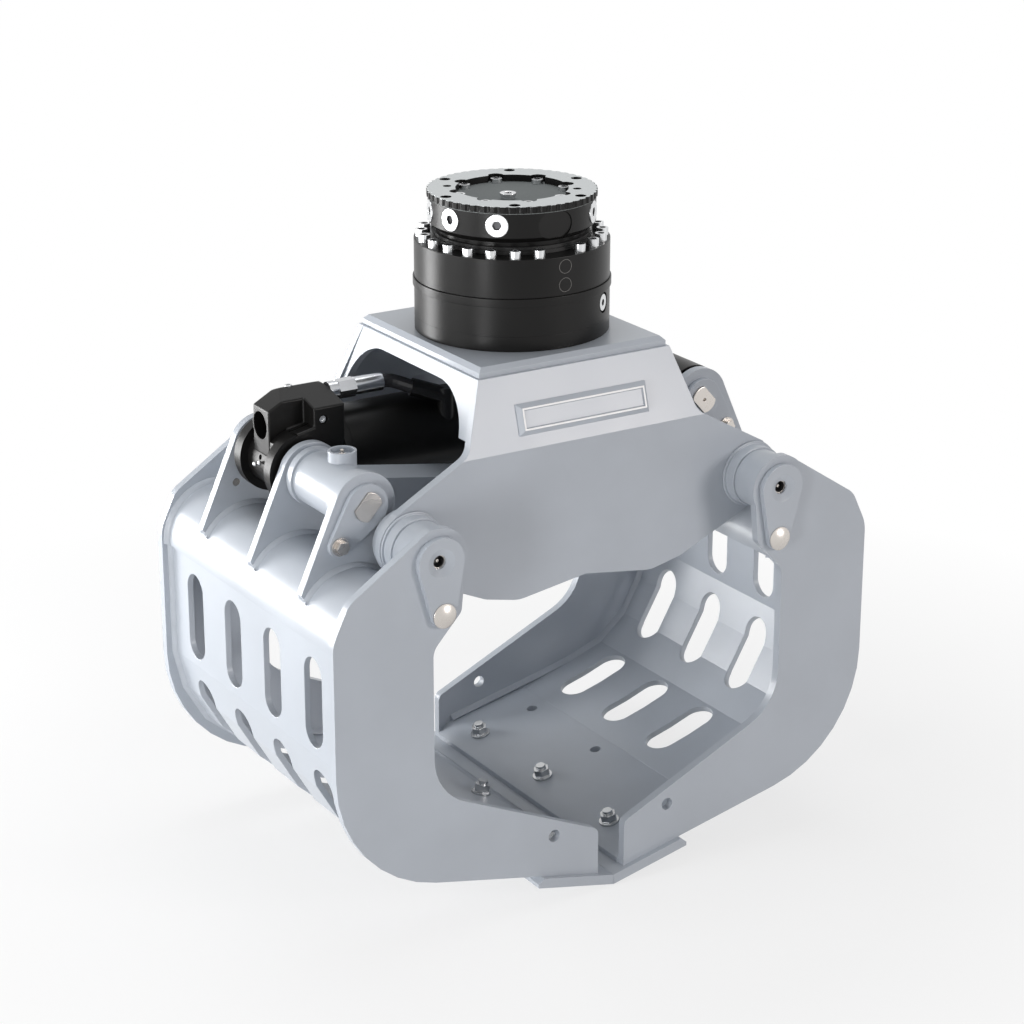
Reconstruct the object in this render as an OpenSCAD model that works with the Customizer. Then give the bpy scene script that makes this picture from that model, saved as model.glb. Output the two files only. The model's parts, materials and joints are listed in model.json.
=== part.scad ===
// Demolition and sorting grapple: rotator, frame, two perforated jaws, one cylinder and a crossed
// synchronising link. Origin at the centre of the top flange's upper face, +Z up, X along the opening.

/* [Rotator] */
// Radius of the top flange
flange_r = 130; // [126:1:134]
// Thickness of the scalloped top flange
flange_t = 10; // [8:1:14]
// Scallops round the rim of the flange
flange_scallops = 52; // [36:4:60]
// Distance of the mounting holes in from the flange's rim
mount_edge = 13.5; // [12:0.5:15]
// Radius of a mounting hole
mount_hole_r = 8.5; // [6.5:0.5:9]
// Height of the ported ring under the flange
port_ring_h = 46; // [44:1:54]
// Step from the flange's rim to the ported ring
port_ring_step = 2; // [1:0.5:6]
// Gap between the neck and the housing's bore, which the seal covers
neck_gap = 4; // [3:0.5:6]
// Height of the open neck above the housing
neck_h = 19; // [16:1:24]
// Distance of the recess's wall in from the mounting holes' circle
recess_edge = 30.5; // [28:0.5:36]
// Depth of the recess
recess_depth = 11; // [9:1:16]
// Radius of the rotator housing
housing_r = 150; // [148:1:156]
// Wall of the rotator housing
housing_wall = 32; // [30:1:33]
// Height of the upper housing
upper_housing_h = 59.5; // [56:0.5:66]
// Height of the raised joint band
band_h = 13; // [9:1:16]
// How far the band stands out of the housing
band_proud = 2.2; // [1:0.2:4]
// Height of the lower housing
lower_housing_h = 45.5; // [42:0.5:52]
// Height of the base ring on the frame
base_ring_h = 23; // [18:1:30]
// Number of places on the housing's screw circle
housing_screw_places = 24; // [16:4:24]
// Distance of the housing's screws in from its edge
housing_screw_edge = 12; // [11:0.5:14]
// Radius of a ball in the slewing race
ball_r = 8; // [6:0.5:9]
// Balls in the slewing race
ball_count = 36; // [24:2:40]

/* [Rotator drive] */
// Module of the drive gears, pitch diameter per tooth
gear_module = 3; // [3:1:3]
// Teeth on the motor's pinion
pinion_teeth = 12; // [12:1:12]
// Face width of the gears
gear_w = 24; // [18:1:26]
// Metal between the swivel core and the fixed gear's pitch circle
gear_wall = 32; // [28:1:38]
// Radius of the drive motor
motor_r = 26; // [22:1:27]
// Radius of the motor's shaft
motor_shaft_r = 8; // [6:0.5:9]

/* [Frame] */
// Half length of the top plate along X
top_half_x = 166; // [160:1:172]
// Half width of the top plate along Y
top_half_y = 175.5; // [172:0.5:178]
// Thickness of the top plate
top_plate_t = 15; // [12:1:18]
// Thickness of the front, rear and end plates
frame_plate_t = 15; // [12:1:18]
// Half width over the upright parts of the side plates
frame_half_w = 212; // [208:1:216]
// Depth below the top plate at which the side plates bend inwards
bend_depth = 124; // [118:1:130]
// Depth of the lower edge of the end plates
end_plate_depth = 104; // [96:1:110]
// Slope of the end plates, outward run per drop
end_plate_slope = 0.286; // [0.26:0.01:0.3]
// Width of the frame beside the end window
window_rim = 38; // [34:1:44]
// Corner radius of the end window
window_corner_r = 88; // [80:1:90]
// Depth of the top of the end window below the top plate
window_top_depth = 37; // [34:1:42]
// Y of the middle of the end window
window_y = 8; // [4:1:10]
// Half distance between the jaw pivots
pivot_x = 305; // [303:1:307]
// Depth of the jaw pivots below the top plate
pivot_depth = 235; // [233:1:237]
// Radius of the pivot bosses
boss_r = 48; // [44:1:49]
// Length of the boss outside the frame plate
boss_outer_len = 23; // [18:1:28]
// Length of the boss inside the frame plate
boss_inner_len = 16; // [12:1:17]
// Wall of the pivot bush
bush_wall = 5; // [4:0.5:6]

/* [Jaws] */
// Y of the outer faces of the jaw side plates
jaw_half_w = 290; // [286:1:294]
// Thickness of the jaw side plates
side_plate_t = 14; // [12:1:16]
// Radius of the side plate's lobe round the pivot
lobe_r = 50; // [47:1:52]
// Radius of the pivot pins
pivot_pin_r = 30; // [26:1:32]
// Reach of a jaw outwards from its pivot
jaw_out = 174; // [171:1:177]
// Depth of the blade's upper edge where the blades meet
tip_depth = 815.6; // [810:1:820]
// Upward slope of the lip and blade, in degrees
lip_slope = 12.4; // [11:0.2:13]
// Radius of the side plate's outer lower corner
outer_corner_r = 210; // [190:5:220]
// Thickness of the perforated shell
shell_t = 10; // [8:1:12]
// Width of the slots in the shell
slot_w = 54; // [44:1:58]
// Distance between the middles of the slots
slot_pitch = 130; // [120:1:134]
// Thickness of the lip plate
lip_t = 20; // [16:1:22]
// Thickness of the blade
blade_t = 16; // [12:1:18]
// Depth of the blade from its edge to its back
blade_run = 138; // [120:1:150]
// How far a blade's ends stand out of the side plates
blade_over = 9; // [5:1:12]
// X of the blade bolts
blade_bolt_x = 64; // [58:1:74]
// Y distance of the outer blade bolts
blade_bolt_y = 197; // [180:1:220]
// Radius of the half round cross beam
beam_r = 84; // [80:1:84]
// Wall of the cross beam
beam_wall = 12; // [8:1:14]

/* [Levers, cylinder and link] */
// Distance of the lever pin outwards from the jaw pivot
lever_out = 52; // [50:1:54]
// Height of the lever pin above the jaw pivot
lever_up = 58.5; // [57:0.5:60]
// Thickness of the lever plates
lever_t = 15; // [12:1:16]
// Gap between an outer lever plate and the pivot boss
lever_gap = 11; // [9.5:0.5:12.5]
// Radius of the lever heads
lever_head_r = 50; // [46:1:52]
// Radius of the lever pins
lever_pin_r = 25; // [22:1:27]
// Step from a lever pin to its flatted end
pin_shoulder = 2.5; // [2:0.5:6]
// Distance across the flats of a lever pin's end
pin_flats = 30; // [26:1:34]
// Thickness of the pin keepers
keeper_t = 8; // [6:1:10]
// Radius of the cylinder's barrel
barrel_r = 68; // [64:1:70]
// Radius of the cylinder's bore
cylinder_bore_r = 50; // [46:1:57]
// Radius of the piston rod
rod_r = 30; // [25:1:34]
// Free stroke of the cylinder
stroke = 158; // [156:1:164]
// Width of the link's bar
link_bar_w = 70; // [60:1:72]
// Height of the link's bar
link_bar_h = 50; // [44:1:54]
// Radius of the link's hub
link_hub_r = 42; // [40:1:43]
// Radius of the link's lower pin
link_pin_r = 18; // [15:1:20]
// Radius of the hydraulic hose
hose_r = 11; // [9:0.5:12]

/* [Hidden] */
$fn = 96;

paint = [0.66, 0.69, 0.73];
satin_black = [0.13, 0.13, 0.14];
bright_steel = [0.82, 0.83, 0.84];
nickel = [0.75, 0.71, 0.67];
rubber_black = [0.06, 0.06, 0.06];
bronze = [0.66, 0.5, 0.28];

// Running clearance of a pin or shaft in its bore
fit = 0.05;
// Gap between a slewing ball and its race
race_gap = 0.2;
// Gap between parts that slide past each other
side_gap = 0.5;
// Overshoot of a cutting shape
cut = 1;

mount_circle_r = flange_r - mount_edge;
port_ring_r = flange_r - port_ring_step;
recess_r = mount_circle_r - recess_edge;
housing_bore_r = housing_r - housing_wall;
neck_r = housing_bore_r - neck_gap;
housing_screw_circle_r = housing_r - housing_screw_edge;
port_ring_z = -(flange_t + port_ring_h);
housing_top_z = port_ring_z - neck_h;
band_top_z = housing_top_z - upper_housing_h;
band_z = band_top_z - band_h;
base_top_z = band_z - lower_housing_h;
plate_z = base_top_z - base_ring_h;
top_under_z = plate_z - top_plate_t;
bend_z = plate_z - bend_depth;
pivot_z = plate_z - pivot_depth;

// Heads and sockets of the metric screws
cap_head_r = 9;
cap_head_h = 12;
cap_socket_r = 5.8;
recess_head_h = 7;
recess_plug_x = -21;
recess_plug_y = -22;
recess_plug_h = 10;
screw_r = 6;
recess_screw_circle_r = recess_r - 3;
recess_pocket_r = 12;
pocket_turn = -15;
pocket_count = 8;
skipped_screw_angle = -90;
housing_thread_depth = 10;

race_z = housing_top_z - 30;
race_r = (neck_r + housing_bore_r) / 2;
neck_bottom_z = race_z - 15;
gear_z = neck_bottom_z - gear_w;
motor_side_gap = 2;
pinion_pitch_r = gear_module * pinion_teeth / 2;
fixed_gear_teeth = floor(2 * (housing_bore_r - motor_side_gap - motor_r - pinion_pitch_r) / gear_module);
fixed_pitch_r = gear_module * fixed_gear_teeth / 2;
core_r = fixed_pitch_r - gear_wall;
motor_x = fixed_pitch_r + pinion_pitch_r;
gear_addendum = 0.9 * gear_module;
gear_dedendum = 1.25 * gear_module;
gear_backlash = 0.7;

plug_r = 17.5;
plug_proud = 1;
plug_t = 5;
plug_z = -(flange_t + 19);
plug_angles = [-168, -132, -49, 162];
stadium_w = 58;
stadium_h = 40;
stadium_depth = 5;
stadium_z = -(flange_t + port_ring_h / 2 - 1.5);
stadium_angle = -91;
housing_port_r = 16;
housing_port_angle = -54;
housing_port_z = band_z - 17.5;
housing_port_depth = 5;
housing_plug_r = 13;
housing_plug_thread_r = 7;
housing_plug_len = 20;

side_slope = (frame_half_w - top_half_y) / bend_depth;
window_half_flat = frame_half_w - window_rim - window_corner_r;
boss_ring_r = boss_r + 4;
boss_ring_t = 5;
boss_start_y = frame_half_w - frame_plate_t - boss_inner_len;
boss_end_y = frame_half_w + boss_outer_len;
lever_y = boss_start_y - lever_gap - lever_t / 2;
bush_r = pivot_pin_r + bush_wall;
pivot_pin_start_y = boss_start_y + 3;

side_inner_y = jaw_half_w - side_plate_t;
jaw_boss_r = 45;
jaw_boss_start_y = boss_end_y + side_gap;
jaw_reach = pivot_x + jaw_out;
shell_x = jaw_reach - 26;
shell_top_z = pivot_z - 121;
beam_x = shell_x - 68;
beam_z = pivot_z - 115;
beam_bottom_z = shell_top_z;
tip_z = plate_z - tip_depth;
blade_half_w = jaw_half_w + blade_over;
blade_gap = 0.2;
lip_start_x = 22;
lip_end_x = 193;
nut_flange_r = 16.5;
nut_flange_t = 3.5;
nut_hex_r = 13.8;
nut_h = 16;
bolt_r = 8;
bolt_tail = 6;
bolt_sink_r = 15;
floor_hole_x = 168;
floor_hole_r = 9;
tip_hole_x = 105;
tip_hole_z = tip_z + 91.1;
tip_hole_r = 10;

pin_end_r = lever_pin_r - pin_shoulder;
lever_pin_x = pivot_x + lever_out;
lever_pin_z = pivot_z + lever_up;
keeper_bolt_x = lever_pin_x + 47;
keeper_bolt_z = lever_pin_z - 52;
keeper_angle = atan2(keeper_bolt_z - lever_pin_z, keeper_bolt_x - lever_pin_x);
keeper_hole_r = screw_r + 0.5;
flag_t = 10;
flag_r = 38;
flag_tail_r = 19.5;
flag_hole_r = 10.5;
flag_screw_x = pivot_x - 3.7;
flag_screw_z = pivot_z - 81.5;
dome_r = 19;
dome_h = 7;
dome_ball_r = 36;
pin_stand_out = 3.5;

cylinder_y = (lever_y - side_gap) / 2;
head_front_y = lever_t / 2 + 7;
head_back_y = lever_y - lever_t / 2 - 8.5;
eye_inner_y = lever_t / 2 + side_gap;
eye_outer_y = lever_y - lever_t / 2 - side_gap;
ear_r = 60;
ear_t = 20;
head_hub_r = 47;
spacer_r = 40;
head_end_x = -lever_pin_x + 69;
flange_len = 14;
piston_w = 40;
gland_inner = 55;
barrel_start_x = head_end_x;
bore_start_x = barrel_start_x + flange_len;
barrel_end_x = bore_start_x + stroke + piston_w + gland_inner + 20;
piston_x = barrel_end_x - gland_inner - piston_w - 5;
gland_cap = 14;
rod_eye_r = 50;
rod_eye_half_w = cylinder_y - eye_inner_y - 7;
rod_neck_r = 38;
rod_neck_len = 120;
piston_gap = 0.3;

link_y = -cylinder_y;
link_pin_x = pivot_x - 68;
link_pin_z = lever_pin_z - 99.6;
link_collar_r = link_hub_r + 4;
link_collar_t = 18;
link_hub_start_y = -(lever_y - lever_t / 2 - side_gap);
link_hub_end_y = -eye_inner_y;
link_len = norm([link_pin_x + lever_pin_x, link_pin_z - lever_pin_z]);
link_turn = atan2(link_pin_z - lever_pin_z, link_pin_x + lever_pin_x);
link_eye_r = 36;
grease_boss_r = 21.5;
grease_boss_h = 57.5;
lug_t = 14;
lug_hole_x = link_pin_x + 4.1;
lug_hole_z = link_pin_z + 8.3;
lug_swing = 10.2;
lug_hole_r = link_pin_r + lug_swing;
lug_r = lug_hole_r + 16;
lug_y = link_bar_w / 2 + side_gap + lug_t / 2 + 1;
link_cap_r = lug_hole_r + lug_swing + 2;
link_cap_t = 8;

// Hose between the head's port and the barrel's port, with the run of its middle line
hose_start = [head_end_x + 45, 70, lever_pin_z + 99];
hose_end = [head_end_x + 188, 36, lever_pin_z + 69.5];
hose_ferrule_r = 14;
hose_thread_r = 6.5;
hose_ferrule_len = 48;
hose_path = [
    for (p = [[48, 0, 0], [57, 0, 0], [66, -1.5, -1.5], [75, -5, -4.5], [84, -10, -8], [93, -15.5, -12]])
        hose_start + p
];

// Corner points of an outline, each [x, y, radius], turned into a smooth closed line
function unit(v) = v / norm(v);
function corner_arc(before, here, after, r, n) =
    r <= 0 ? [here] :
    let (
        u = unit(before - here),
        v = unit(after - here),
        half = acos(u * v) / 2,
        centre = here + unit(u + v) * r / sin(half),
        p = here + u * r / tan(half) - centre,
        q = here + v * r / tan(half) - centre,
        start = atan2(p[1], p[0]),
        turn = (atan2(q[1], q[0]) - start + 540) % 360 - 180
    )
    [for (i = [0 : n]) centre + r * [cos(start + turn * i / n), sin(start + turn * i / n)]];
function flat(p) = [p[0], p[1]];
function rounded(points, n = 8) = [
    for (i = [0 : len(points) - 1])
        each corner_arc(
            flat(points[(i + len(points) - 1) % len(points)]), flat(points[i]),
            flat(points[(i + 1) % len(points)]), points[i][2], n)
];

// A bent plate: the inner line of its section, moved out by its thickness with mitred corners
function side_of(a, b) = let (d = unit(b - a)) [-d[1], d[0]];
function mitre(points, i, t) =
    i == 0 ? points[0] + t * side_of(points[0], points[1]) :
    i == len(points) - 1 ? points[i] + t * side_of(points[i - 1], points[i]) :
    let (
        m = side_of(points[i - 1], points[i]) + side_of(points[i], points[i + 1])
    )
    points[i] + t * 2 * m / (m * m);
function bent_plate(points, t) = concat(
    points,
    [for (i = [len(points) - 1 : -1 : 0]) mitre(points, i, t)]
);

// A 2-D section of x and z, drawn out along Y
module drawn_along_y(y0, y1) {
    translate([0, y1, 0])
        rotate([90, 0, 0])
            linear_extrude(y1 - y0)
                children();
}

// A 2-D section of y and z, drawn out along X
module drawn_along_x(x0, x1) {
    translate([x0, 0, 0])
        rotate([90, 0, 90])
            linear_extrude(x1 - x0)
                children();
}

module rod_along_y(r, y0, y1) {
    translate([0, y0, 0])
        rotate([-90, 0, 0])
            cylinder(r = r, h = y1 - y0);
}

module rod_along_x(r, x0, x1) {
    translate([x0, 0, 0])
        rotate([0, 90, 0])
            cylinder(r = r, h = x1 - x0);
}

module ring(outer_r, inner_r, z0, z1) {
    translate([0, 0, z0])
        difference() {
            cylinder(r = outer_r, h = z1 - z0);
            translate([0, 0, -cut])
                cylinder(r = inner_r, h = z1 - z0 + 2 * cut);
        }
}

module around(angles, radius) {
    for (a = angles)
        rotate([0, 0, a])
            translate([radius, 0, 0])
                children();
}

module on_pivot() {
    translate([pivot_x, 0, pivot_z])
        children();
}

module on_lever_pin() {
    translate([lever_pin_x, 0, lever_pin_z])
        children();
}

// Mirrors the right-hand jaw's form to the left
module handed(side) {
    if (side < 0)
        mirror([1, 0, 0])
            children();
    else
        children();
}

// Mirrors a front part to the rear as well
module front_and_rear() {
    children();
    mirror([0, 1, 0])
        children();
}

// Outline round two circles with straight flanks between them
module two_lobes(a, ra, b, rb) {
    d = b - a;
    lean = acos((ra - rb) / norm(d));
    base = atan2(d[1], d[0]);
    translate(a)
        circle(r = ra);
    translate(b)
        circle(r = rb);
    polygon([
        a + ra * [cos(base + lean), sin(base + lean)],
        b + rb * [cos(base + lean), sin(base + lean)],
        b + rb * [cos(base - lean), sin(base - lean)],
        a + ra * [cos(base - lean), sin(base - lean)]
    ]);
}

module double_d(r, flats) {
    intersection() {
        circle(r = r);
        rotate(keeper_angle)
            square([4 * r, flats], center = true);
    }
}

screw_angles = [
    for (i = [0 : housing_screw_places - 1])
        if (abs((i * 360 / housing_screw_places - skipped_screw_angle + 540) % 360 - 180) > 1)
            i * 360 / housing_screw_places
];
pocket_angles = [for (i = [0 : pocket_count - 1]) pocket_turn + i * 360 / pocket_count];
mount_angles = [0 : 60 : 300];
dowel_angles = [143, -37];
dowel_circle_r = 97;
dowel_r = 6.5;

// Hydraulic rotator

module rotator_head() {
    color(satin_black)
        difference() {
            union() {
                translate([0, 0, -flange_t])
                    linear_extrude(flange_t)
                        difference() {
                            circle(r = flange_r);
                            around([for (i = [0 : flange_scallops - 1]) i * 360 / flange_scallops], flange_r + 3)
                                circle(r = 5.5, $fn = 24);
                        }
                translate([0, 0, port_ring_z + 8])
                    cylinder(r = port_ring_r, h = port_ring_h - 8);
                translate([0, 0, port_ring_z])
                    cylinder(r1 = neck_r + 6, r2 = port_ring_r, h = 8);
                translate([0, 0, neck_bottom_z])
                    cylinder(r = neck_r, h = port_ring_z - neck_bottom_z);
            }
            translate([0, 0, -recess_depth])
                linear_extrude(recess_depth + cut) {
                    circle(r = recess_r);
                    around(pocket_angles, recess_r)
                        circle(r = recess_pocket_r, $fn = 48);
                }
            around(mount_angles, mount_circle_r)
                translate([0, 0, -(flange_t + 14)])
                    cylinder(r = mount_hole_r, h = flange_t + 14 + cut);
            around(dowel_angles, dowel_circle_r + mount_hole_r - dowel_r)
                translate([0, 0, -(flange_t + 4)])
                    cylinder(r = dowel_r, h = flange_t + 4 + cut);
            around(pocket_angles, recess_screw_circle_r)
                translate([0, 0, -recess_depth - 12])
                    cylinder(r = screw_r, h = 12 + cut);
            for (a = plug_angles)
                rotate([0, 0, a])
                    translate([0, 0, plug_z])
                        rod_along_x(plug_r, port_ring_r - plug_t, port_ring_r + 20);
            rotate([0, 0, stadium_angle])
                translate([0, 0, stadium_z])
                    drawn_along_x(port_ring_r - stadium_depth, port_ring_r + 20)
                        stadium(stadium_w, stadium_h);
            translate([0, 0, race_z])
                race_groove();
            translate([0, 0, neck_bottom_z - cut])
                cylinder(r = core_r, h = 20 + cut);
            translate([recess_plug_x, recess_plug_y, -recess_depth - 15])
                cylinder(r = 8, h = 15 + cut);
        }
}

module stadium(w, h) {
    straight = (w - h) / 2;
    square([2 * straight, h], center = true);
    for (s = [-1, 1])
        translate([s * straight, 0])
            circle(r = h / 2, $fn = 48);
}

module race_groove() {
    rotate_extrude()
        translate([race_r, 0])
            circle(r = ball_r + race_gap, $fn = 48);
}

module head_plugs() {
    color(bright_steel)
        for (a = plug_angles)
            rotate([0, 0, a])
                translate([0, 0, plug_z])
                    difference() {
                        rod_along_x(plug_r - fit, port_ring_r - plug_t, port_ring_r + plug_proud);
                        drawn_along_x(port_ring_r - plug_t + 1.5, port_ring_r + plug_proud + cut)
                            circle(r = 7, $fn = 6);
                    }
}

module cap_screw(shank, head_h = cap_head_h) {
    difference() {
        union() {
            cylinder(r = cap_head_r, h = head_h);
            translate([0, 0, -shank])
                cylinder(r = screw_r - fit, h = shank + cut);
        }
        translate([0, 0, head_h / 2])
            cylinder(r = cap_socket_r, h = head_h / 2 + cut, $fn = 6);
    }
}

module recess_screws() {
    color(bright_steel)
        around(pocket_angles, recess_screw_circle_r)
            translate([0, 0, -recess_depth])
                cap_screw(11, recess_head_h);
}

module centre_plug() {
    color(bright_steel)
        translate([recess_plug_x, recess_plug_y, -recess_depth])
            difference() {
                union() {
                    translate([0, 0, recess_plug_h - 4.5])
                        cylinder(r = 12.5, h = 4.5);
                    cylinder(r = 11, h = recess_plug_h - 1);
                    translate([0, 0, -14])
                        cylinder(r = 8 - fit, h = 15);
                }
                translate([0, 0, recess_plug_h - 4])
                    cylinder(r = 6, h = 4 + cut, $fn = 6);
            }
}

module neck_seal() {
    color(rubber_black) {
        ring(neck_r + 7, neck_r, housing_top_z + 0.3, housing_top_z + 6);
        ring(neck_r + 4, neck_r, housing_top_z + 6, housing_top_z + 11);
    }
}

module swivel_core() {
    color(bright_steel)
        difference() {
            translate([0, 0, top_under_z - 14])
                cylinder(r = core_r - fit, h = neck_bottom_z + 20 - top_under_z + 14);
            for (a = [0 : 90 : 270])
                rotate([0, 0, a])
                    translate([core_r / 2, 0, top_under_z - 14 - cut])
                        cylinder(r = 6, h = 30);
        }
}

// Tooth of a gear as a straight-flanked wedge, narrower at its tip
module gear_outline(teeth, pitch_r, turn) {
    root_r = pitch_r - gear_dedendum;
    tip_r = pitch_r + gear_addendum;
    half_pitch = 90 / teeth * (1 - gear_backlash / (gear_module * 1.5708));
    circle(r = root_r);
    for (i = [0 : teeth - 1])
        rotate(turn + i * 360 / teeth)
            polygon([
                [root_r - 1, -root_r * sin(half_pitch * 1.5)],
                [tip_r, -tip_r * sin(half_pitch * 0.42)],
                [tip_r, tip_r * sin(half_pitch * 0.42)],
                [root_r - 1, root_r * sin(half_pitch * 1.5)]
            ]);
}

module fixed_gear() {
    color(bright_steel)
        translate([0, 0, gear_z])
            linear_extrude(gear_w)
                difference() {
                    gear_outline(fixed_gear_teeth, fixed_pitch_r, 0);
                    circle(r = core_r);
                }
}

module slew_balls() {
    color(bright_steel)
        around([for (i = [0 : ball_count - 1]) i * 360 / ball_count], race_r)
            translate([0, 0, race_z])
                sphere(r = ball_r, $fn = 48);
}

module housing_screw_holes(z0, z1, r) {
    around(screw_angles, housing_screw_circle_r)
        translate([0, 0, z0])
            cylinder(r = r, h = z1 - z0, $fn = 32);
}

module upper_housing() {
    color(satin_black)
        difference() {
            ring(housing_r, housing_bore_r, band_top_z, housing_top_z);
            translate([0, 0, race_z])
                race_groove();
            housing_screw_holes(band_top_z - cut, housing_top_z + cut, screw_r + 0.5);
        }
}

module joint_band() {
    color(satin_black)
        difference() {
            ring(housing_r + band_proud, housing_bore_r, band_z, band_top_z);
            housing_screw_holes(band_z - cut, band_top_z + cut, screw_r + 0.5);
        }
}

module lower_housing() {
    color(satin_black)
        difference() {
            ring(housing_r, housing_bore_r, base_top_z, band_z);
            housing_screw_holes(base_top_z - cut, band_z + cut, screw_r + 0.5);
            rotate([0, 0, housing_port_angle])
                translate([0, 0, housing_port_z])
                    union() {
                        rod_along_x(housing_port_r, housing_r - housing_port_depth, housing_r + cut);
                        rod_along_x(housing_plug_thread_r, housing_r - housing_plug_len, housing_r + cut);
                    }
        }
}

module housing_plug() {
    color(bright_steel)
        rotate([0, 0, housing_port_angle])
            translate([0, 0, housing_port_z])
                difference() {
                    union() {
                        rod_along_x(housing_plug_r, housing_r - housing_port_depth, housing_r - 1);
                        rod_along_x(housing_plug_thread_r - fit, housing_r - housing_plug_len, housing_r - 2);
                    }
                    drawn_along_x(housing_r - housing_port_depth, housing_r)
                        circle(r = 5.5, $fn = 6);
                }
}

module base_ring() {
    color(satin_black)
        difference() {
            ring(housing_r, core_r + side_gap, plate_z, base_top_z);
            housing_screw_holes(plate_z - cut, base_top_z + cut, screw_r + 0.5);
        }
}

module housing_screws() {
    color(bright_steel)
        around(screw_angles, housing_screw_circle_r)
            translate([0, 0, housing_top_z])
                cap_screw(housing_top_z - plate_z + housing_thread_depth);
}

module drive_motor() {
    color(satin_black)
        translate([motor_x, 0, base_top_z])
            difference() {
                cylinder(r = motor_r, h = gear_z - base_top_z - 2);
                translate([0, 0, 6])
                    cylinder(r = motor_shaft_r + fit, h = gear_z - base_top_z);
            }
}

module motor_pinion() {
    color(bright_steel)
        translate([motor_x, 0, 0]) {
            translate([0, 0, gear_z])
                linear_extrude(gear_w)
                    gear_outline(pinion_teeth, pinion_pitch_r, 180 + 180 / pinion_teeth);
            translate([0, 0, base_top_z + 6.5])
                cylinder(r = motor_shaft_r, h = gear_z - base_top_z - 6);
        }
}

// Frame weldment

// Half width of the frame's outer skin at a height, in from it by a thickness
module frame_section(inset, z_top, z_bottom) {
    polygon([
        [skin_y(z_top) - inset, z_top], [frame_half_w - inset, bend_z], [frame_half_w - inset, z_bottom],
        [inset - frame_half_w, z_bottom], [inset - frame_half_w, bend_z], [inset - skin_y(z_top), z_top]
    ]);
}
function skin_y(z) = z > bend_z ? frame_half_w - (z - bend_z) * side_slope : frame_half_w;
function end_x(z) = top_half_x + (plate_z - z) * end_plate_slope;

module top_plate() {
    bevel = 7;
    color(paint)
        difference() {
            intersection() {
                drawn_along_y(-top_half_y, top_half_y)
                    polygon([
                        [bevel - top_half_x, plate_z], [top_half_x - bevel, plate_z],
                        [top_half_x, plate_z - bevel], [top_half_x, top_under_z],
                        [-top_half_x, top_under_z], [-top_half_x, plate_z - bevel]
                    ]);
                drawn_along_x(-top_half_x, top_half_x)
                    polygon([
                        [bevel - top_half_y, plate_z], [top_half_y - bevel, plate_z],
                        [top_half_y, plate_z - bevel], [top_half_y, top_under_z],
                        [-top_half_y, top_under_z], [-top_half_y, plate_z - bevel]
                    ]);
            }
            translate([0, 0, top_under_z - cut])
                cylinder(r = core_r + side_gap + 4, h = top_plate_t + 2 * cut);
            housing_screw_holes(plate_z - housing_thread_depth - 1, plate_z + cut, screw_r);
        }
}

// Outline of the frame's front and rear plates, right half then left half
half_plate_line = [
    [end_x(top_under_z), top_under_z, 0],
    [top_half_x + 39, plate_z - 117, 30],
    [pivot_x + 24, pivot_z + 49, 3],
    for (a = [58 : -9 : -86]) [pivot_x + (boss_ring_r + 1) * cos(a), pivot_z + (boss_ring_r + 1) * sin(a), 0],
    [pivot_x - 33, pivot_z - 70, 40],
    [pivot_x - 127, pivot_z - 112, 40],
    [pivot_x - 185, pivot_z - 125, 60],
    [0, pivot_z - 107, 0]
];
module frame_plate_outline() {
    right = rounded(half_plate_line);
    last = len(right) - 1;
    difference() {
        polygon(concat(right, [for (i = [last - 1 : -1 : 0]) [-right[i][0], right[i][1]]]));
        for (s = [-1, 1])
            translate([s * pivot_x, pivot_z])
                circle(r = boss_r);
    }
}

module front_plate() {
    low_z = pivot_z - 145;
    color(paint)
        intersection() {
            drawn_along_y(-frame_half_w - cut, 0)
                frame_plate_outline();
            drawn_along_x(-pivot_x - 100, pivot_x + 100)
                difference() {
                    frame_section(0, top_under_z, low_z);
                    frame_section(frame_plate_t, top_under_z + 10, low_z - 10);
                }
        }
}

module rear_plate() {
    mirror([0, 1, 0])
        front_plate();
}

module end_plate(side) {
    low_z = plate_z - end_plate_depth;
    color(paint)
        handed(side)
            difference() {
                intersection() {
                    drawn_along_y(-frame_half_w, frame_half_w)
                        polygon([
                            [end_x(top_under_z), top_under_z], [end_x(low_z), low_z],
                            [end_x(low_z) - frame_plate_t, low_z],
                            [end_x(top_under_z) - frame_plate_t, top_under_z]
                        ]);
                    drawn_along_x(0, pivot_x)
                        frame_section(frame_plate_t, top_under_z, low_z - cut);
                }
                drawn_along_x(0, pivot_x)
                    window_outline();
            }
}

module window_outline() {
    top_z = plate_z - window_top_depth;
    translate([window_y, 0])
        union() {
            for (s = [-1, 1])
                translate([s * window_half_flat, top_z - window_corner_r])
                    circle(r = window_corner_r);
            translate([-window_half_flat, top_z - 2 * window_corner_r])
                square([2 * window_half_flat, 2 * window_corner_r]);
            translate([-window_half_flat - window_corner_r, top_z - 3 * window_corner_r])
                square([2 * (window_half_flat + window_corner_r), 2 * window_corner_r]);
        }
}

module left_end_plate() {
    end_plate(-1);
}

module right_end_plate() {
    end_plate(1);
}

module at_four_pivots() {
    for (s = [-1, 1])
        handed(s)
            front_and_rear()
                on_pivot()
                    children();
}

module pivot_bosses() {
    color(paint)
        at_four_pivots()
            difference() {
                union() {
                    rod_along_y(boss_r, boss_start_y, boss_end_y);
                    rod_along_y(boss_ring_r, frame_half_w, frame_half_w + boss_ring_t);
                }
                rod_along_y(bush_r, boss_start_y - cut, boss_end_y + cut);
            }
}

module pivot_bushes() {
    color(bronze)
        at_four_pivots()
            difference() {
                rod_along_y(bush_r, boss_start_y, boss_end_y);
                rod_along_y(pivot_pin_r + fit, boss_start_y - cut, boss_end_y + cut);
            }
}

// Jaws, drawn for the right-hand side

function blade_top(x) = tip_z + x * tan(lip_slope);

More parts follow.
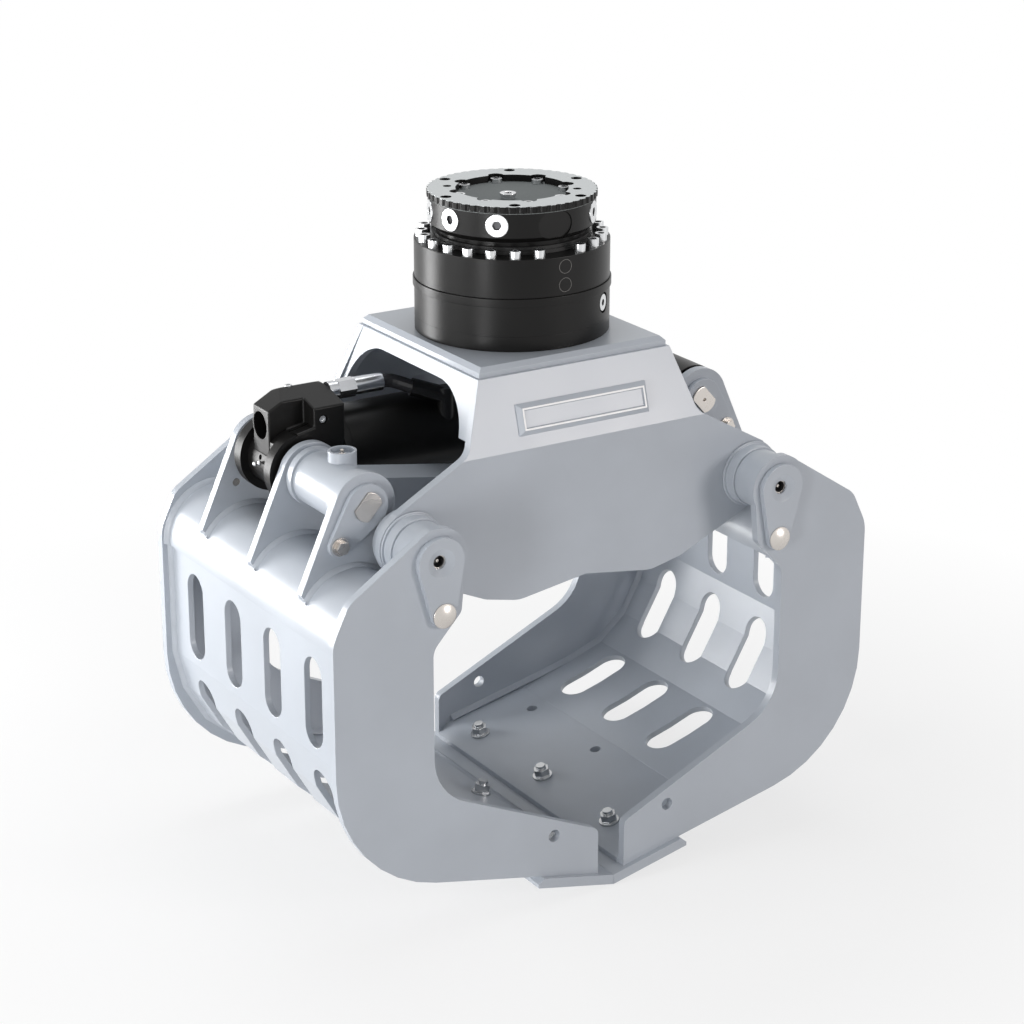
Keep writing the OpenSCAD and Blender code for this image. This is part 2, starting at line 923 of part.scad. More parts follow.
side_line = [
    [pivot_x, pivot_z + lobe_r, 0],
    [pivot_x + 15, pivot_z + lobe_r - 1, 20],
    [pivot_x + 147, pivot_z - 37, 40],
    [jaw_reach, pivot_z - 93, 60],
    [jaw_reach, blade_top(jaw_reach), outer_corner_r],
    [24, blade_top(24), 0],
    [24, tip_z + 81.6, 14],
    [jaw_reach - 164, tip_z + 213.6, 88],
    [jaw_reach - 164, pivot_z - 137, 30],
    [pivot_x - 38, pivot_z - 85, 15],
    [pivot_x - 44, pivot_z - 24, 0],
    [pivot_x, pivot_z, 0]
];

module side_plate() {
    difference() {
        union() {
            drawn_along_y(-jaw_half_w, -side_inner_y)
                difference() {
                    union() {
                        polygon(rounded(side_line));
                        translate([pivot_x, pivot_z])
                            circle(r = lobe_r);
                    }
                    translate([tip_hole_x, tip_hole_z])
                        circle(r = tip_hole_r, $fn = 48);
                }
            on_pivot()
                rod_along_y(jaw_boss_r, -side_inner_y, -jaw_boss_start_y);
        }
        on_pivot()
            rod_along_y(pivot_pin_r + fit, -jaw_half_w - cut, 0);
        translate([flag_screw_x, 0, flag_screw_z])
            rod_along_y(screw_r, -jaw_half_w - cut, 0);
    }
}

module front_side(side) {
    color(paint)
        handed(side)
            side_plate();
}

module rear_side(side) {
    color(paint)
        handed(side)
            mirror([0, 1, 0])
                side_plate();
}

shell_line = [
    [shell_x, shell_top_z], [shell_x, tip_z + 278.6], [shell_x - 15, tip_z + 215.6],
    [shell_x - 49, tip_z + 156.6], [shell_x - 99, tip_z + 113.6], [shell_x - 166, tip_z + 89.6],
    [lip_end_x, blade_top(lip_end_x) + lip_t / cos(lip_slope)]
];
slot_ys = [for (i = [-1.5 : 1 : 1.5]) i * slot_pitch];

// A row of slots from one point of the section to another, cut square to the line between them
module slot_row(from, to) {
    run = to - from;
    middle = (from + to) / 2;
    for (y = slot_ys)
        translate([middle[0], y, middle[1]])
            rotate([0, -atan2(run[1], run[0]), 0])
                translate([0, 0, -60])
                    linear_extrude(120)
                        stadium(norm(run), slot_w);
}

module shell(side) {
    color(paint)
        handed(side)
            difference() {
                drawn_along_y(-side_inner_y, side_inner_y)
                    polygon(bent_plate(shell_line, shell_t));
                slot_row([shell_x, shell_top_z - 27], [shell_x, tip_z + 290.6]);
                slot_row([shell_x - 6, tip_z + 254.6], [shell_x - 66, tip_z + 141.6]);
                slot_row([shell_x - 104, tip_z + 111.6], [shell_x - 227, tip_z + 73.6]);
            }
}

// Carries its children to a place on the lip, square to the lip's slope
module on_lip(x, y) {
    translate([x, y, blade_top(x)])
        rotate([0, -lip_slope, 0])
            children();
}

module lip(side) {
    rise = lip_t / cos(lip_slope);
    color(paint)
        handed(side)
            difference() {
                drawn_along_y(-side_inner_y, side_inner_y)
                    polygon([
                        [lip_start_x, blade_top(lip_start_x)],
                        [lip_end_x, blade_top(lip_end_x)],
                        [lip_end_x, blade_top(lip_end_x) + rise],
                        [lip_start_x + 20, blade_top(lip_start_x + 20) + rise],
                        [lip_start_x, blade_top(lip_start_x) + 8]
                    ]);
                for (y = [-blade_bolt_y, 0, blade_bolt_y]) {
                    on_lip(blade_bolt_x, y)
                        translate([0, 0, -cut])
                            cylinder(r = bolt_r + 0.5, h = lip_t + 2 * cut);
                    on_lip(floor_hole_x, y)
                        translate([0, 0, -cut])
                            cylinder(r = floor_hole_r, h = lip_t + 2 * cut);
                }
            }
}

module blade(side) {
    drop = blade_t / cos(lip_slope);
    end_bevel = 10;
    color(paint)
        handed(side)
            difference() {
                drawn_along_y(-blade_half_w, blade_half_w)
                    polygon([
                        [blade_gap, blade_top(blade_gap)],
                        [blade_run - end_bevel, blade_top(blade_run - end_bevel)],
                        [blade_run, blade_top(blade_run) - end_bevel],
                        [blade_run, blade_top(blade_run) - drop],
                        [blade_gap, blade_top(blade_gap) - drop]
                    ]);
                for (y = [-blade_bolt_y, 0, blade_bolt_y])
                    on_lip(blade_bolt_x, y) {
                        translate([0, 0, -blade_t - cut])
                            cylinder(r = bolt_r + 0.5, h = blade_t + 2 * cut);
                        translate([0, 0, -blade_t - fit])
                            cylinder(r1 = bolt_sink_r + 0.3, r2 = bolt_r + 0.3, h = bolt_sink_r - bolt_r);
                    }
            }
}

module blade_bolts(side) {
    color(nickel)
        handed(side)
            for (y = [-blade_bolt_y, 0, blade_bolt_y])
                on_lip(blade_bolt_x, y) {
                    translate([0, 0, -blade_t])
                        cylinder(r = bolt_r, h = blade_t + lip_t + nut_h + bolt_tail);
                    translate([0, 0, -blade_t])
                        cylinder(r1 = bolt_sink_r, r2 = bolt_r, h = bolt_sink_r - bolt_r);
                    translate([0, 0, lip_t])
                        difference() {
                            union() {
                                cylinder(r = nut_flange_r, h = nut_flange_t);
                                cylinder(r = nut_hex_r, h = nut_h, $fn = 6);
                            }
                            translate([0, 0, -cut])
                                cylinder(r = bolt_r + fit, h = nut_h + 2 * cut);
                        }
                }
}

module beam(side) {
    color(paint)
        handed(side)
            drawn_along_y(-side_inner_y, side_inner_y)
                difference() {
                    beam_section(0);
                    beam_section(beam_wall);
                }
}

module beam_section(inset) {
    intersection() {
        translate([beam_x, beam_z])
            circle(r = beam_r - inset);
        translate([beam_x - beam_r, beam_bottom_z + inset])
            square([2 * beam_r, 2 * beam_r]);
    }
}

lever_line = [
    [lever_pin_x + 46, lever_pin_z + 19, 0],
    [lever_pin_x + 108, lever_pin_z - 119.5, 3],
    [beam_x + 66, beam_z + 36, 0],
    [beam_x, beam_z, 0],
    [beam_x - beam_r + 14, beam_z + 44, 0],
    [lever_pin_x - 49, lever_pin_z - 8, 0],
    [lever_pin_x, lever_pin_z, 0]
];

module lever_plate(y, bolted) {
    difference() {
        drawn_along_y(y - lever_t / 2, y + lever_t / 2)
            difference() {
                union() {
                    polygon(rounded(lever_line));
                    translate([lever_pin_x, lever_pin_z])
                        circle(r = lever_head_r);
                }
                translate([beam_x, beam_z])
                    circle(r = beam_r);
            }
        on_lever_pin()
            rod_along_y(lever_pin_r + fit, y - lever_t, y + lever_t);
        if (bolted)
            translate([keeper_bolt_x, 0, keeper_bolt_z])
                rod_along_y(screw_r, y - lever_t, y + lever_t);
    }
}

module levers(side, ys) {
    color(paint)
        handed(side)
            for (y = ys)
                lever_plate(y, y == ys[0] || y == ys[len(ys) - 1]);
}

module lever_pin(side, front_y, back_y) {
    color(nickel)
        handed(side)
            on_lever_pin() {
                rod_along_y(lever_pin_r, front_y, back_y);
                drawn_along_y(front_y - keeper_t - pin_stand_out, front_y + cut)
                    double_d(pin_end_r, pin_flats);
                drawn_along_y(back_y - cut, back_y + keeper_t + pin_stand_out)
                    double_d(pin_end_r, pin_flats);
            }
}

// Plate that stops a lever pin from turning, lying on the lever at y
module pin_keeper(y) {
    difference() {
        translate([lever_pin_x, 0, lever_pin_z])
            drawn_along_y(y, y + keeper_t)
                two_lobes([0, 0], 34, [keeper_bolt_x - lever_pin_x, keeper_bolt_z - lever_pin_z], 17);
        translate([lever_pin_x, 0, lever_pin_z])
            drawn_along_y(y - cut, y + keeper_t + cut)
                double_d(pin_end_r + fit, pin_flats + 2 * fit);
        translate([keeper_bolt_x, 0, keeper_bolt_z])
            rod_along_y(keeper_hole_r, y - cut, y + keeper_t + cut);
    }
}

// Flag that holds a pivot pin against the jaw's side plate
module pivot_flag() {
    difference() {
        on_pivot()
            drawn_along_y(-jaw_half_w - flag_t, -jaw_half_w)
                two_lobes([0, 0], flag_r, [flag_screw_x - pivot_x, flag_screw_z - pivot_z], flag_tail_r);
        on_pivot() {
            translate([0, -jaw_half_w - flag_t - cut, 0])
                rotate([-90, 0, 0])
                    cylinder(r1 = 24, r2 = 9, h = 8);
            rod_along_y(flag_hole_r, -jaw_half_w - flag_t - cut, -jaw_half_w + cut);
        }
        translate([flag_screw_x, 0, flag_screw_z])
            rod_along_y(keeper_hole_r, -jaw_half_w - flag_t - cut, -jaw_half_w + cut);
    }
}

module keepers(side, front_y, back_y) {
    color(paint)
        handed(side) {
            front_and_rear()
                pivot_flag();
            pin_keeper(front_y - keeper_t);
            pin_keeper(back_y);
        }
}

module hex_bolt(shank) {
    rod_along_y(14, -3, 0);
    drawn_along_y(-12, 0)
        circle(r = 10.4, $fn = 6);
    rod_along_y(screw_r - fit, -cut, shank);
}

module dome_screw() {
    intersection() {
        rod_along_y(dome_r, -dome_h - cut, 0);
        translate([0, dome_ball_r - dome_h, 0])
            sphere(r = dome_ball_r);
    }
    rod_along_y(screw_r - fit, -cut, flag_t + side_plate_t);
}

module keeper_bolts(side, front_y, back_y) {
    color(nickel)
        handed(side) {
            front_and_rear()
                translate([flag_screw_x, -jaw_half_w - flag_t, flag_screw_z])
                    dome_screw();
            translate([keeper_bolt_x, front_y - keeper_t, keeper_bolt_z])
                hex_bolt(keeper_t + lever_t);
            translate([keeper_bolt_x, back_y + keeper_t, keeper_bolt_z])
                mirror([0, 1, 0])
                    hex_bolt(keeper_t + lever_t);
        }
}

module pivot_pins(side) {
    color(nickel)
        handed(side)
            front_and_rear()
                on_pivot()
                    difference() {
                        rod_along_y(pivot_pin_r, -jaw_half_w, -pivot_pin_start_y);
                        rod_along_y(4, -jaw_half_w - cut, -jaw_half_w + 40);
                    }
}

left_front_y = -lever_y - lever_t / 2;
left_back_y = lever_y + lever_t / 2;
right_front_y = -lever_t / 2;
right_back_y = lever_y + lever_t / 2;

module left_front_side() { front_side(-1); }
module left_rear_side() { rear_side(-1); }
module left_shell() { shell(-1); }
module left_lip() { lip(-1); }
module left_blade() { blade(-1); }
module left_blade_bolts() { blade_bolts(-1); }
module left_beam() { beam(-1); }
module left_levers() { levers(-1, [-lever_y, 0, lever_y]); }
module left_lever_pin() { lever_pin(-1, left_front_y, left_back_y); }
module left_keepers() { keepers(-1, left_front_y, left_back_y); }
module left_keeper_bolts() { keeper_bolts(-1, left_front_y, left_back_y); }
module left_pivot_pins() { pivot_pins(-1); }

module right_front_side() { front_side(1); }
module right_rear_side() { rear_side(1); }
module right_shell() { shell(1); }
module right_lip() { lip(1); }
module right_blade() { blade(1); }
module right_blade_bolts() { blade_bolts(1); }
module right_beam() { beam(1); }
module right_levers() { levers(1, [0, lever_y]); }
module right_lever_pin() { lever_pin(1, right_front_y, right_back_y); }
module right_keepers() { keepers(1, right_front_y, right_back_y); }
module right_keeper_bolts() { keeper_bolts(1, right_front_y, right_back_y); }
module right_pivot_pins() { pivot_pins(1); }

// Two plates on the right-hand beam that hold the lower end of the synchronising link
module right_link_lugs() {
    color(paint)
        for (s = [-1, 1])
            drawn_along_y(link_y + s * lug_y - lug_t / 2, link_y + s * lug_y + lug_t / 2)
                difference() {
                    union() {
                        translate([lug_hole_x, lug_hole_z])
                            circle(r = lug_r);
                        polygon([
                            [lug_hole_x + 6, lug_hole_z + lug_r], [beam_x - 40, beam_z + 72],
                            [beam_x, beam_z], [beam_x - beam_r, beam_z - 4],
                            [lug_hole_x - 4, lug_hole_z - lug_r]
                        ]);
                    }
                    translate([lug_hole_x, lug_hole_z])
                        circle(r = lug_hole_r);
                    translate([beam_x, beam_z])
                        circle(r = beam_r);
                }
}

// Hydraulic cylinder

// Outline of the valve block from the front, and half its depth for the roof and the pocket
head_line = [
    [-42.5, 20, 0], [-42.5, 90, 0], [0, 113, 5], [48, 113, 8], [69, 109, 4], [69, 0, 0], [0, -30, 0]
];
head_pocket_x = 17;
head_pocket_depth = 33;
head_block_depth = 84;
head_roof_rise = 18;
head_roof_depth = 71;
head_port_r = 24;

module valve_block() {
    back_y = head_front_y + head_block_depth;
    ridge_y = head_front_y + head_roof_depth;
    intersection() {
        drawn_along_y(head_front_y, back_y)
            polygon(rounded(head_line, 4));
        drawn_along_x(-100, 100)
            polygon([
                [head_front_y - cut, -60], [back_y + cut, -60], [back_y + cut, 106],
                [ridge_y, 94 + head_roof_rise], [head_front_y - cut, 94 - head_roof_rise / head_roof_depth]
            ]);
        translate([0, 0, -60])
            linear_extrude(200)
                polygon([
                    [head_pocket_x, head_front_y], [100, head_front_y], [100, back_y], [-100, back_y],
                    [-100, head_front_y + head_pocket_depth], [head_pocket_x, head_front_y + head_pocket_depth]
                ]);
    }
}

// Floor of the block's pocket, rising from the top of the front ear
module pocket_floor(y0, y1, r, left_x) {
    lean = 11.3;
    drawn_along_y(y0, y1)
        intersection() {
            union() {
                circle(r = r);
                polygon([
                    [0, 0], [-r * sin(lean), r * cos(lean)],
                    [-r * sin(lean) + 50 * cos(lean), r * cos(lean) + 50 * sin(lean)], [40, 0]
                ]);
            }
            translate([left_x, -r - cut])
                square([2 * r, 3 * r]);
        }
}

module cylinder_head() {
    color(satin_black)
        translate([-lever_pin_x, 0, lever_pin_z])
            difference() {
                union() {
                    pocket_floor(head_front_y, head_front_y + ear_t, ear_r, -ear_r - cut);
                    pocket_floor(head_front_y + ear_t - cut, head_front_y + head_pocket_depth + 2, ear_r - 1.5, -42);
                    rod_along_y(ear_r, head_back_y - 34, head_back_y - 14);
                    rod_along_y(head_hub_r, head_front_y + cut, head_back_y - 15);
                    rod_along_y(spacer_r, eye_inner_y, eye_outer_y);
                    valve_block();
                    drawn_along_x(20, head_end_x + lever_pin_x)
                        base_section();
                }
                translate([0, head_front_y + 62, 61.5])
                    rod_along_x(head_port_r, -60, 0);
                rod_along_y(lever_pin_r + fit, 0, lever_y);
                translate([33, 0, 74])
                    rod_along_y(7, head_front_y - cut, head_front_y + 4);
                translate([0, hose_start[1], hose_start[2] - lever_pin_z])
                    rod_along_x(hose_thread_r, 50, 80);
            }
}

// Base of the cylinder's head, as wide as its flange
module base_section() {
    translate([cylinder_y, 0])
        intersection() {
            circle(r = barrel_r + 4);
            square([2 * (cylinder_y - head_front_y), 2 * barrel_r + 8], center = true);
        }
}

module cylinder_barrel() {
    color(satin_black)
        translate([0, cylinder_y, lever_pin_z])
            difference() {
                union() {
                    rod_along_x(barrel_r, barrel_start_x, barrel_end_x);
                    rod_along_x(barrel_r + 6, barrel_start_x, bore_start_x);
                }
                rod_along_x(cylinder_bore_r, bore_start_x, barrel_end_x + cut);
            }
}

module cylinder_gland() {
    color(satin_black)
        translate([0, cylinder_y, lever_pin_z])
            difference() {
                union() {
                    rod_along_x(cylinder_bore_r - fit, barrel_end_x - gland_inner, barrel_end_x);
                    rod_along_x(barrel_r, barrel_end_x, barrel_end_x + gland_cap);
                }
                rod_along_x(rod_r + fit, barrel_end_x - gland_inner - cut, barrel_end_x + gland_cap + cut);
            }
}

// A short tube between two points
module tube_between(a, b, r, sides = 48) {
    d = b - a;
    translate(a)
        rotate([0, acos(d[2] / norm(d)), atan2(d[1], d[0])])
            cylinder(r = r, h = norm(d), $fn = sides);
}

module hose_fittings() {
    tail = hose_path[len(hose_path) - 1];
    color(bright_steel) {
        translate([0, hose_start[1], hose_start[2]]) {
            rod_along_x(hose_thread_r - fit, head_end_x - 18, head_end_x);
            rod_along_x(14, head_end_x, head_end_x + 16);
            drawn_along_x(head_end_x + 16, hose_start[0])
                circle(r = 16, $fn = 6);
            rod_along_x(hose_ferrule_r, hose_start[0], hose_start[0] + hose_ferrule_len);
        }
    }
    color(satin_black) {
        tube_between(tail, hose_end, hose_ferrule_r);
        difference() {
            translate(hose_end)
                rotate([0, 0, 0])
                    translate([0, 0, -60])
                        cylinder(r = 14, h = 74);
            translate([0, cylinder_y, lever_pin_z])
                rod_along_x(barrel_r, hose_end[0] - 40, hose_end[0] + 40);
        }
    }
}

module cylinder_hose() {
    sides = 12;
    n = len(hose_path);
    rings = [
        for (i = [0 : n - 1])
            let (
                d = i == 0 ? [1, 0, 0] :
                    i == n - 1 ? unit(hose_end - hose_path[i]) : unit(hose_path[i + 1] - hose_path[i - 1]),
                side = unit(cross([0, 0, 1], d)),
                up = cross(d, side)
            )
            [for (k = [0 : sides - 1])
                hose_path[i] + hose_r * (cos(k * 360 / sides) * side + sin(k * 360 / sides) * up)]
    ];
    color(rubber_black)
        polyhedron(
            points = [for (r = rings) each r],
            faces = concat(
                [[for (k = [0 : sides - 1]) k]],
                [[for (k = [sides - 1 : -1 : 0]) (n - 1) * sides + k]],
                [for (i = [0 : n - 2]) for (k = [0 : sides - 1])
                    [i * sides + (k + 1) % sides, i * sides + k,
                     (i + 1) * sides + k, (i + 1) * sides + (k + 1) % sides]]
            ));
}

module piston_rod() {
    color(satin_black)
        difference() {
            union() {
                translate([0, cylinder_y, lever_pin_z]) {
                    rod_along_x(rod_r, piston_x, lever_pin_x - 30);
                    rod_along_x(rod_neck_r, lever_pin_x - rod_neck_len, lever_pin_x - 20);
                }
                on_lever_pin()
                    rod_along_y(rod_eye_r, cylinder_y - rod_eye_half_w, cylinder_y + rod_eye_half_w);
            }
            on_lever_pin()
                rod_along_y(lever_pin_r + fit, 0, lever_y);
        }
}

module piston() {
    color(bright_steel)
        translate([0, cylinder_y, lever_pin_z])
            difference() {
                rod_along_x(cylinder_bore_r - piston_gap, piston_x, piston_x + piston_w);
                rod_along_x(rod_r, piston_x - cut, piston_x + piston_w + cut);
            }
}

// Synchronising link, from the left lever pin to the lugs on the right jaw

module sync_link() {
    half = link_bar_w / 2;
    color(paint)
        difference() {
            union() {
                translate([-lever_pin_x, 0, lever_pin_z]) {
                    rod_along_y(link_hub_r, link_hub_start_y, link_hub_end_y);
                    rod_along_y(link_collar_r, link_hub_start_y + 4, link_hub_start_y + link_collar_t);
                    rod_along_y(link_collar_r, link_hub_end_y - link_collar_t, link_hub_end_y - 4);
                    translate([12, link_y, 0])
                        cylinder(r = grease_boss_r, h = grease_boss_h);
                }
                translate([-lever_pin_x, 0, lever_pin_z])
                    rotate([0, -link_turn, 0])
                        translate([0, link_y - half, -link_bar_h / 2])
                            cube([link_len, link_bar_w, link_bar_h]);
                translate([link_pin_x, 0, link_pin_z])
                    rod_along_y(link_eye_r, link_y - half - 1, link_y + half + 1);
            }
            translate([-lever_pin_x, 0, lever_pin_z])
                rod_along_y(lever_pin_r + fit, -lever_y, 0);
            translate([link_pin_x, 0, link_pin_z])
                rod_along_y(link_pin_r + fit, link_y - half - 1 - cut, link_y + half + 1 + cut);
        }
}

module link_pin() {
    reach = lug_y + lug_t / 2 + side_gap;
    color(nickel)
        translate([link_pin_x, link_y, link_pin_z]) {
            rod_along_y(link_pin_r, -reach - cut, reach + cut);
            rod_along_y(link_cap_r, -reach - link_cap_t, -reach);
            rod_along_y(link_cap_r, reach, reach + link_cap_t);
        }
}

rotator_head();
head_plugs();
recess_screws();
centre_plug();
neck_seal();
swivel_core();
fixed_gear();
slew_balls();
upper_housing();
joint_band();
lower_housing();
base_ring();
housing_screws();
housing_plug();
drive_motor();
motor_pinion();
top_plate();
front_plate();
rear_plate();
left_end_plate();
right_end_plate();
pivot_bosses();
pivot_bushes();
left_front_side();
left_rear_side();
left_shell();
left_lip();
left_blade();
left_blade_bolts();
left_beam();
left_levers();
left_lever_pin();
left_keepers();
left_keeper_bolts();
left_pivot_pins();
right_front_side();
right_rear_side();
right_shell();
right_lip();
right_blade();
right_blade_bolts();
right_beam();
right_levers();
right_lever_pin();
right_keepers();
right_keeper_bolts();
right_pivot_pins();
right_link_lugs();
cylinder_head();
cylinder_barrel();
cylinder_gland();
hose_fittings();
cylinder_hose();
piston_rod();
piston();
sync_link();
link_pin();
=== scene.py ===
"""Looks of a demolition grapple.

Painted frame and jaws, satin black rotator and cylinder, bright fasteners.
"""
import json
import math

import bpy
from mathutils import Matrix, Vector


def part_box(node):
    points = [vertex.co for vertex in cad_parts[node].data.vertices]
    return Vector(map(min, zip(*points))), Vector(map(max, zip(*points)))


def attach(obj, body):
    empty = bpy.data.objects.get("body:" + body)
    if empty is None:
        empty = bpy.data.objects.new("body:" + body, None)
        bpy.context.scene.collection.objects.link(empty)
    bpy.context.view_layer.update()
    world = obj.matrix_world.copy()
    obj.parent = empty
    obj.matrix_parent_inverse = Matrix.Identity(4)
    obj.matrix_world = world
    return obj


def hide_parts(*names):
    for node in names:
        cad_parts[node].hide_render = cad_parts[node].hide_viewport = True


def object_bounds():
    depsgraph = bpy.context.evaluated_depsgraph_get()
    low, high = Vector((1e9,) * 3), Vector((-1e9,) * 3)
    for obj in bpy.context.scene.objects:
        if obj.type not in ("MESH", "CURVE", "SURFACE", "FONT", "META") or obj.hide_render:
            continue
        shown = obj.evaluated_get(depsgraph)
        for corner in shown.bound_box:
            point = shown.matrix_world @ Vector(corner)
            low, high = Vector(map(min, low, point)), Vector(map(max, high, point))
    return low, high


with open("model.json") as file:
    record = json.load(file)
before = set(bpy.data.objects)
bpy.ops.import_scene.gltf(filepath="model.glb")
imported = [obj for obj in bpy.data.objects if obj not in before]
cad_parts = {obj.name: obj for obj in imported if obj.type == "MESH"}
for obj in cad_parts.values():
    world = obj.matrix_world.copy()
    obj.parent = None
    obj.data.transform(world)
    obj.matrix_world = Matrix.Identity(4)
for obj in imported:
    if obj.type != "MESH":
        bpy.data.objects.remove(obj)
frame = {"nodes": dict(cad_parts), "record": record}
cad_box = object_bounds()
nodes = frame["nodes"]
behaviour = frame["record"]["behaviour"]
joint_place = {joint["name"]: Vector(joint["pos_m"]) for joint in behaviour["joints"]}
body_of_node = {node: body for body, members in behaviour["bodies"].items() for node in members}
slot_of_node = {part["node"]: part["material_slot"] for part in frame["record"]["subparts"]}

mm = 0.001
left_pivot = joint_place["left_jaw_opening"]
right_pivot = joint_place["right_jaw_opening"]
left_lever_pin = joint_place["cylinder_swing"]
right_lever_pin = joint_place["rod_swing"]
plate_top_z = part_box("top_plate")[1].z
front_skin_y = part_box("front_plate")[0].y
bend_z = plate_top_z - 124 * mm
top_half_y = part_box("top_plate")[1].y
beam_r = 84 * mm
housing_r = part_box("upper_housing")[1].x
recess_floor_z = -11 * mm
hose_middle_x = -180 * mm
nipple_depth = 13 * mm
block_end_x = left_lever_pin.x - 42.5 * mm
block_screw_x = left_lever_pin.x + 33 * mm
block_screw_z = left_lever_pin.z + 74 * mm
stub_x = left_lever_pin.x + 12 * mm
stub_y = -81 * mm


# Camera at the photograph's viewing angle

def add_camera():
    camera = bpy.data.objects.new("camera", bpy.data.cameras.new("camera"))
    bpy.context.scene.collection.objects.link(camera)
    camera.location = (-2.1452, -3.4349, 0.9443)
    aim = Vector((0.0, 0.0, -0.5233)) - camera.location
    camera.rotation_euler = aim.to_track_quat("-Z", "Y").to_euler()
    camera.data.lens = 95.843
    camera.data.sensor_width = 36.0
    bpy.context.scene.camera = camera


add_camera()


# Materials

def new_material(name, color, roughness, metallic=0.0):
    """A material with its plain values on the shader's own sockets, and its nodes to build on."""
    material = bpy.data.materials.new(name)
    material.use_nodes = True
    shader = material.node_tree.nodes["Principled BSDF"]
    shader.inputs["Base Color"].default_value = (*color, 1.0)
    shader.inputs["Roughness"].default_value = roughness
    shader.inputs["Metallic"].default_value = metallic
    material.diffuse_color = (*color, 1.0)
    return material, material.node_tree, shader


def noise_on_object(tree, scale, detail=3.0):
    """Noise that sits on the piece, in the frame's own coordinates."""
    place = tree.nodes.new("ShaderNodeTexCoord")
    noise = tree.nodes.new("ShaderNodeTexNoise")
    noise.inputs["Scale"].default_value = scale
    noise.inputs["Detail"].default_value = detail
    tree.links.new(place.outputs["Object"], noise.inputs["Vector"])
    return noise


def spread(tree, value, low, high, from_low=0.35, from_high=0.65):
    """Brings a noise into a range."""
    node = tree.nodes.new("ShaderNodeMapRange")
    node.inputs["From Min"].default_value = from_low
    node.inputs["From Max"].default_value = from_high
    node.inputs["To Min"].default_value = low
    node.inputs["To Max"].default_value = high
    tree.links.new(value, node.inputs["Value"])
    return node.outputs["Result"]


def vary_color(tree, shader, noise, dark, light):
    """Lets the base color drift between two tones."""
    ramp = tree.nodes.new("ShaderNodeValToRGB")
    ramp.color_ramp.elements[0].position = 0.35
    ramp.color_ramp.elements[0].color = (*dark, 1.0)
    ramp.color_ramp.elements[1].position = 0.65
    ramp.color_ramp.elements[1].color = (*light, 1.0)
    tree.links.new(noise.outputs["Fac"], ramp.inputs["Fac"])
    tree.links.new(ramp.outputs["Color"], shader.inputs["Base Color"])


def relief(tree, shader, height, distance, strength):
    """Raises the surface where the height is greater."""
    bump = tree.nodes.new("ShaderNodeBump")
    bump.inputs["Distance"].default_value = distance
    bump.inputs["Strength"].default_value = strength
    tree.links.new(height, bump.inputs["Height"])
    tree.links.new(bump.outputs["Normal"], shader.inputs["Normal"])


def shaded(color, factor):
    return tuple(channel * factor for channel in color)


paint_color = (0.455, 0.490, 0.540)
black_color = (0.006, 0.0058, 0.0056)
zinc_color = (0.52, 0.53, 0.55)


def machine_paint():
    material, tree, shader = new_material("machine_paint", paint_color, 0.36)
    shader.inputs["Coat Weight"].default_value = 0.25
    shader.inputs["Coat Roughness"].default_value = 0.22
    clouds = noise_on_object(tree, 6.0, 4.0)
    vary_color(tree, shader, clouds, shaded(paint_color, 0.965), shaded(paint_color, 1.03))
    tree.links.new(spread(tree, clouds.outputs["Fac"], 0.33, 0.40), shader.inputs["Roughness"])
    orange_peel = noise_on_object(tree, 420.0, 2.0)
    relief(tree, shader, orange_peel.outputs["Fac"], 0.12 * mm, 0.35)
    return material


def weld_paint():
    material, tree, shader = new_material("painted_weld", paint_color, 0.38)
    shader.inputs["Coat Weight"].default_value = 0.25
    shader.inputs["Coat Roughness"].default_value = 0.22
    ripples = noise_on_object(tree, 150.0, 2.0)
    relief(tree, shader, ripples.outputs["Fac"], 0.6 * mm, 0.5)
    clouds = noise_on_object(tree, 30.0, 3.0)
    vary_color(tree, shader, clouds, shaded(paint_color, 0.95), shaded(paint_color, 1.02))
    return material


def satin_black_coat():
    material, tree, shader = new_material("satin_black_coat", black_color, 0.34)
    shader.inputs["Specular IOR Level"].default_value = 0.2
    clouds = noise_on_object(tree, 9.0, 4.0)
    vary_color(tree, shader, clouds, shaded(black_color, 0.85), shaded(black_color, 1.2))
    tree.links.new(spread(tree, clouds.outputs["Fac"], 0.31, 0.37), shader.inputs["Roughness"])
    grain = noise_on_object(tree, 900.0, 2.0)
    relief(tree, shader, grain.outputs["Fac"], 0.08 * mm, 0.4)
    return material


def between(tree, axis, low, high):
    """1 where the piece's own coordinate lies between two values, else 0."""
    place = tree.nodes.new("ShaderNodeTexCoord")
    parts = tree.nodes.new("ShaderNodeSeparateXYZ")
    inside = tree.nodes.new("ShaderNodeMath")
    inside.operation = "COMPARE"
    inside.inputs[1].default_value = (low + high) / 2
    inside.inputs[2].default_value = (high - low) / 2
    tree.links.new(place.outputs["Object"], parts.inputs["Vector"])
    tree.links.new(parts.outputs[axis], inside.inputs[0])
    return inside.outputs["Value"]


def color_where(tree, mask, under, color):
    """The color where the mask is 1, over a plain color or an earlier mix."""
    mix = tree.nodes.new("ShaderNodeMix")
    mix.data_type = "RGBA"
    if isinstance(under, tuple):
        mix.inputs[6].default_value = (*under, 1.0)
    else:
        tree.links.new(under, mix.inputs[6])
    mix.inputs[7].default_value = (*color, 1.0)
    tree.links.new(mask, mix.inputs["Factor"])
    return mix.outputs[2]


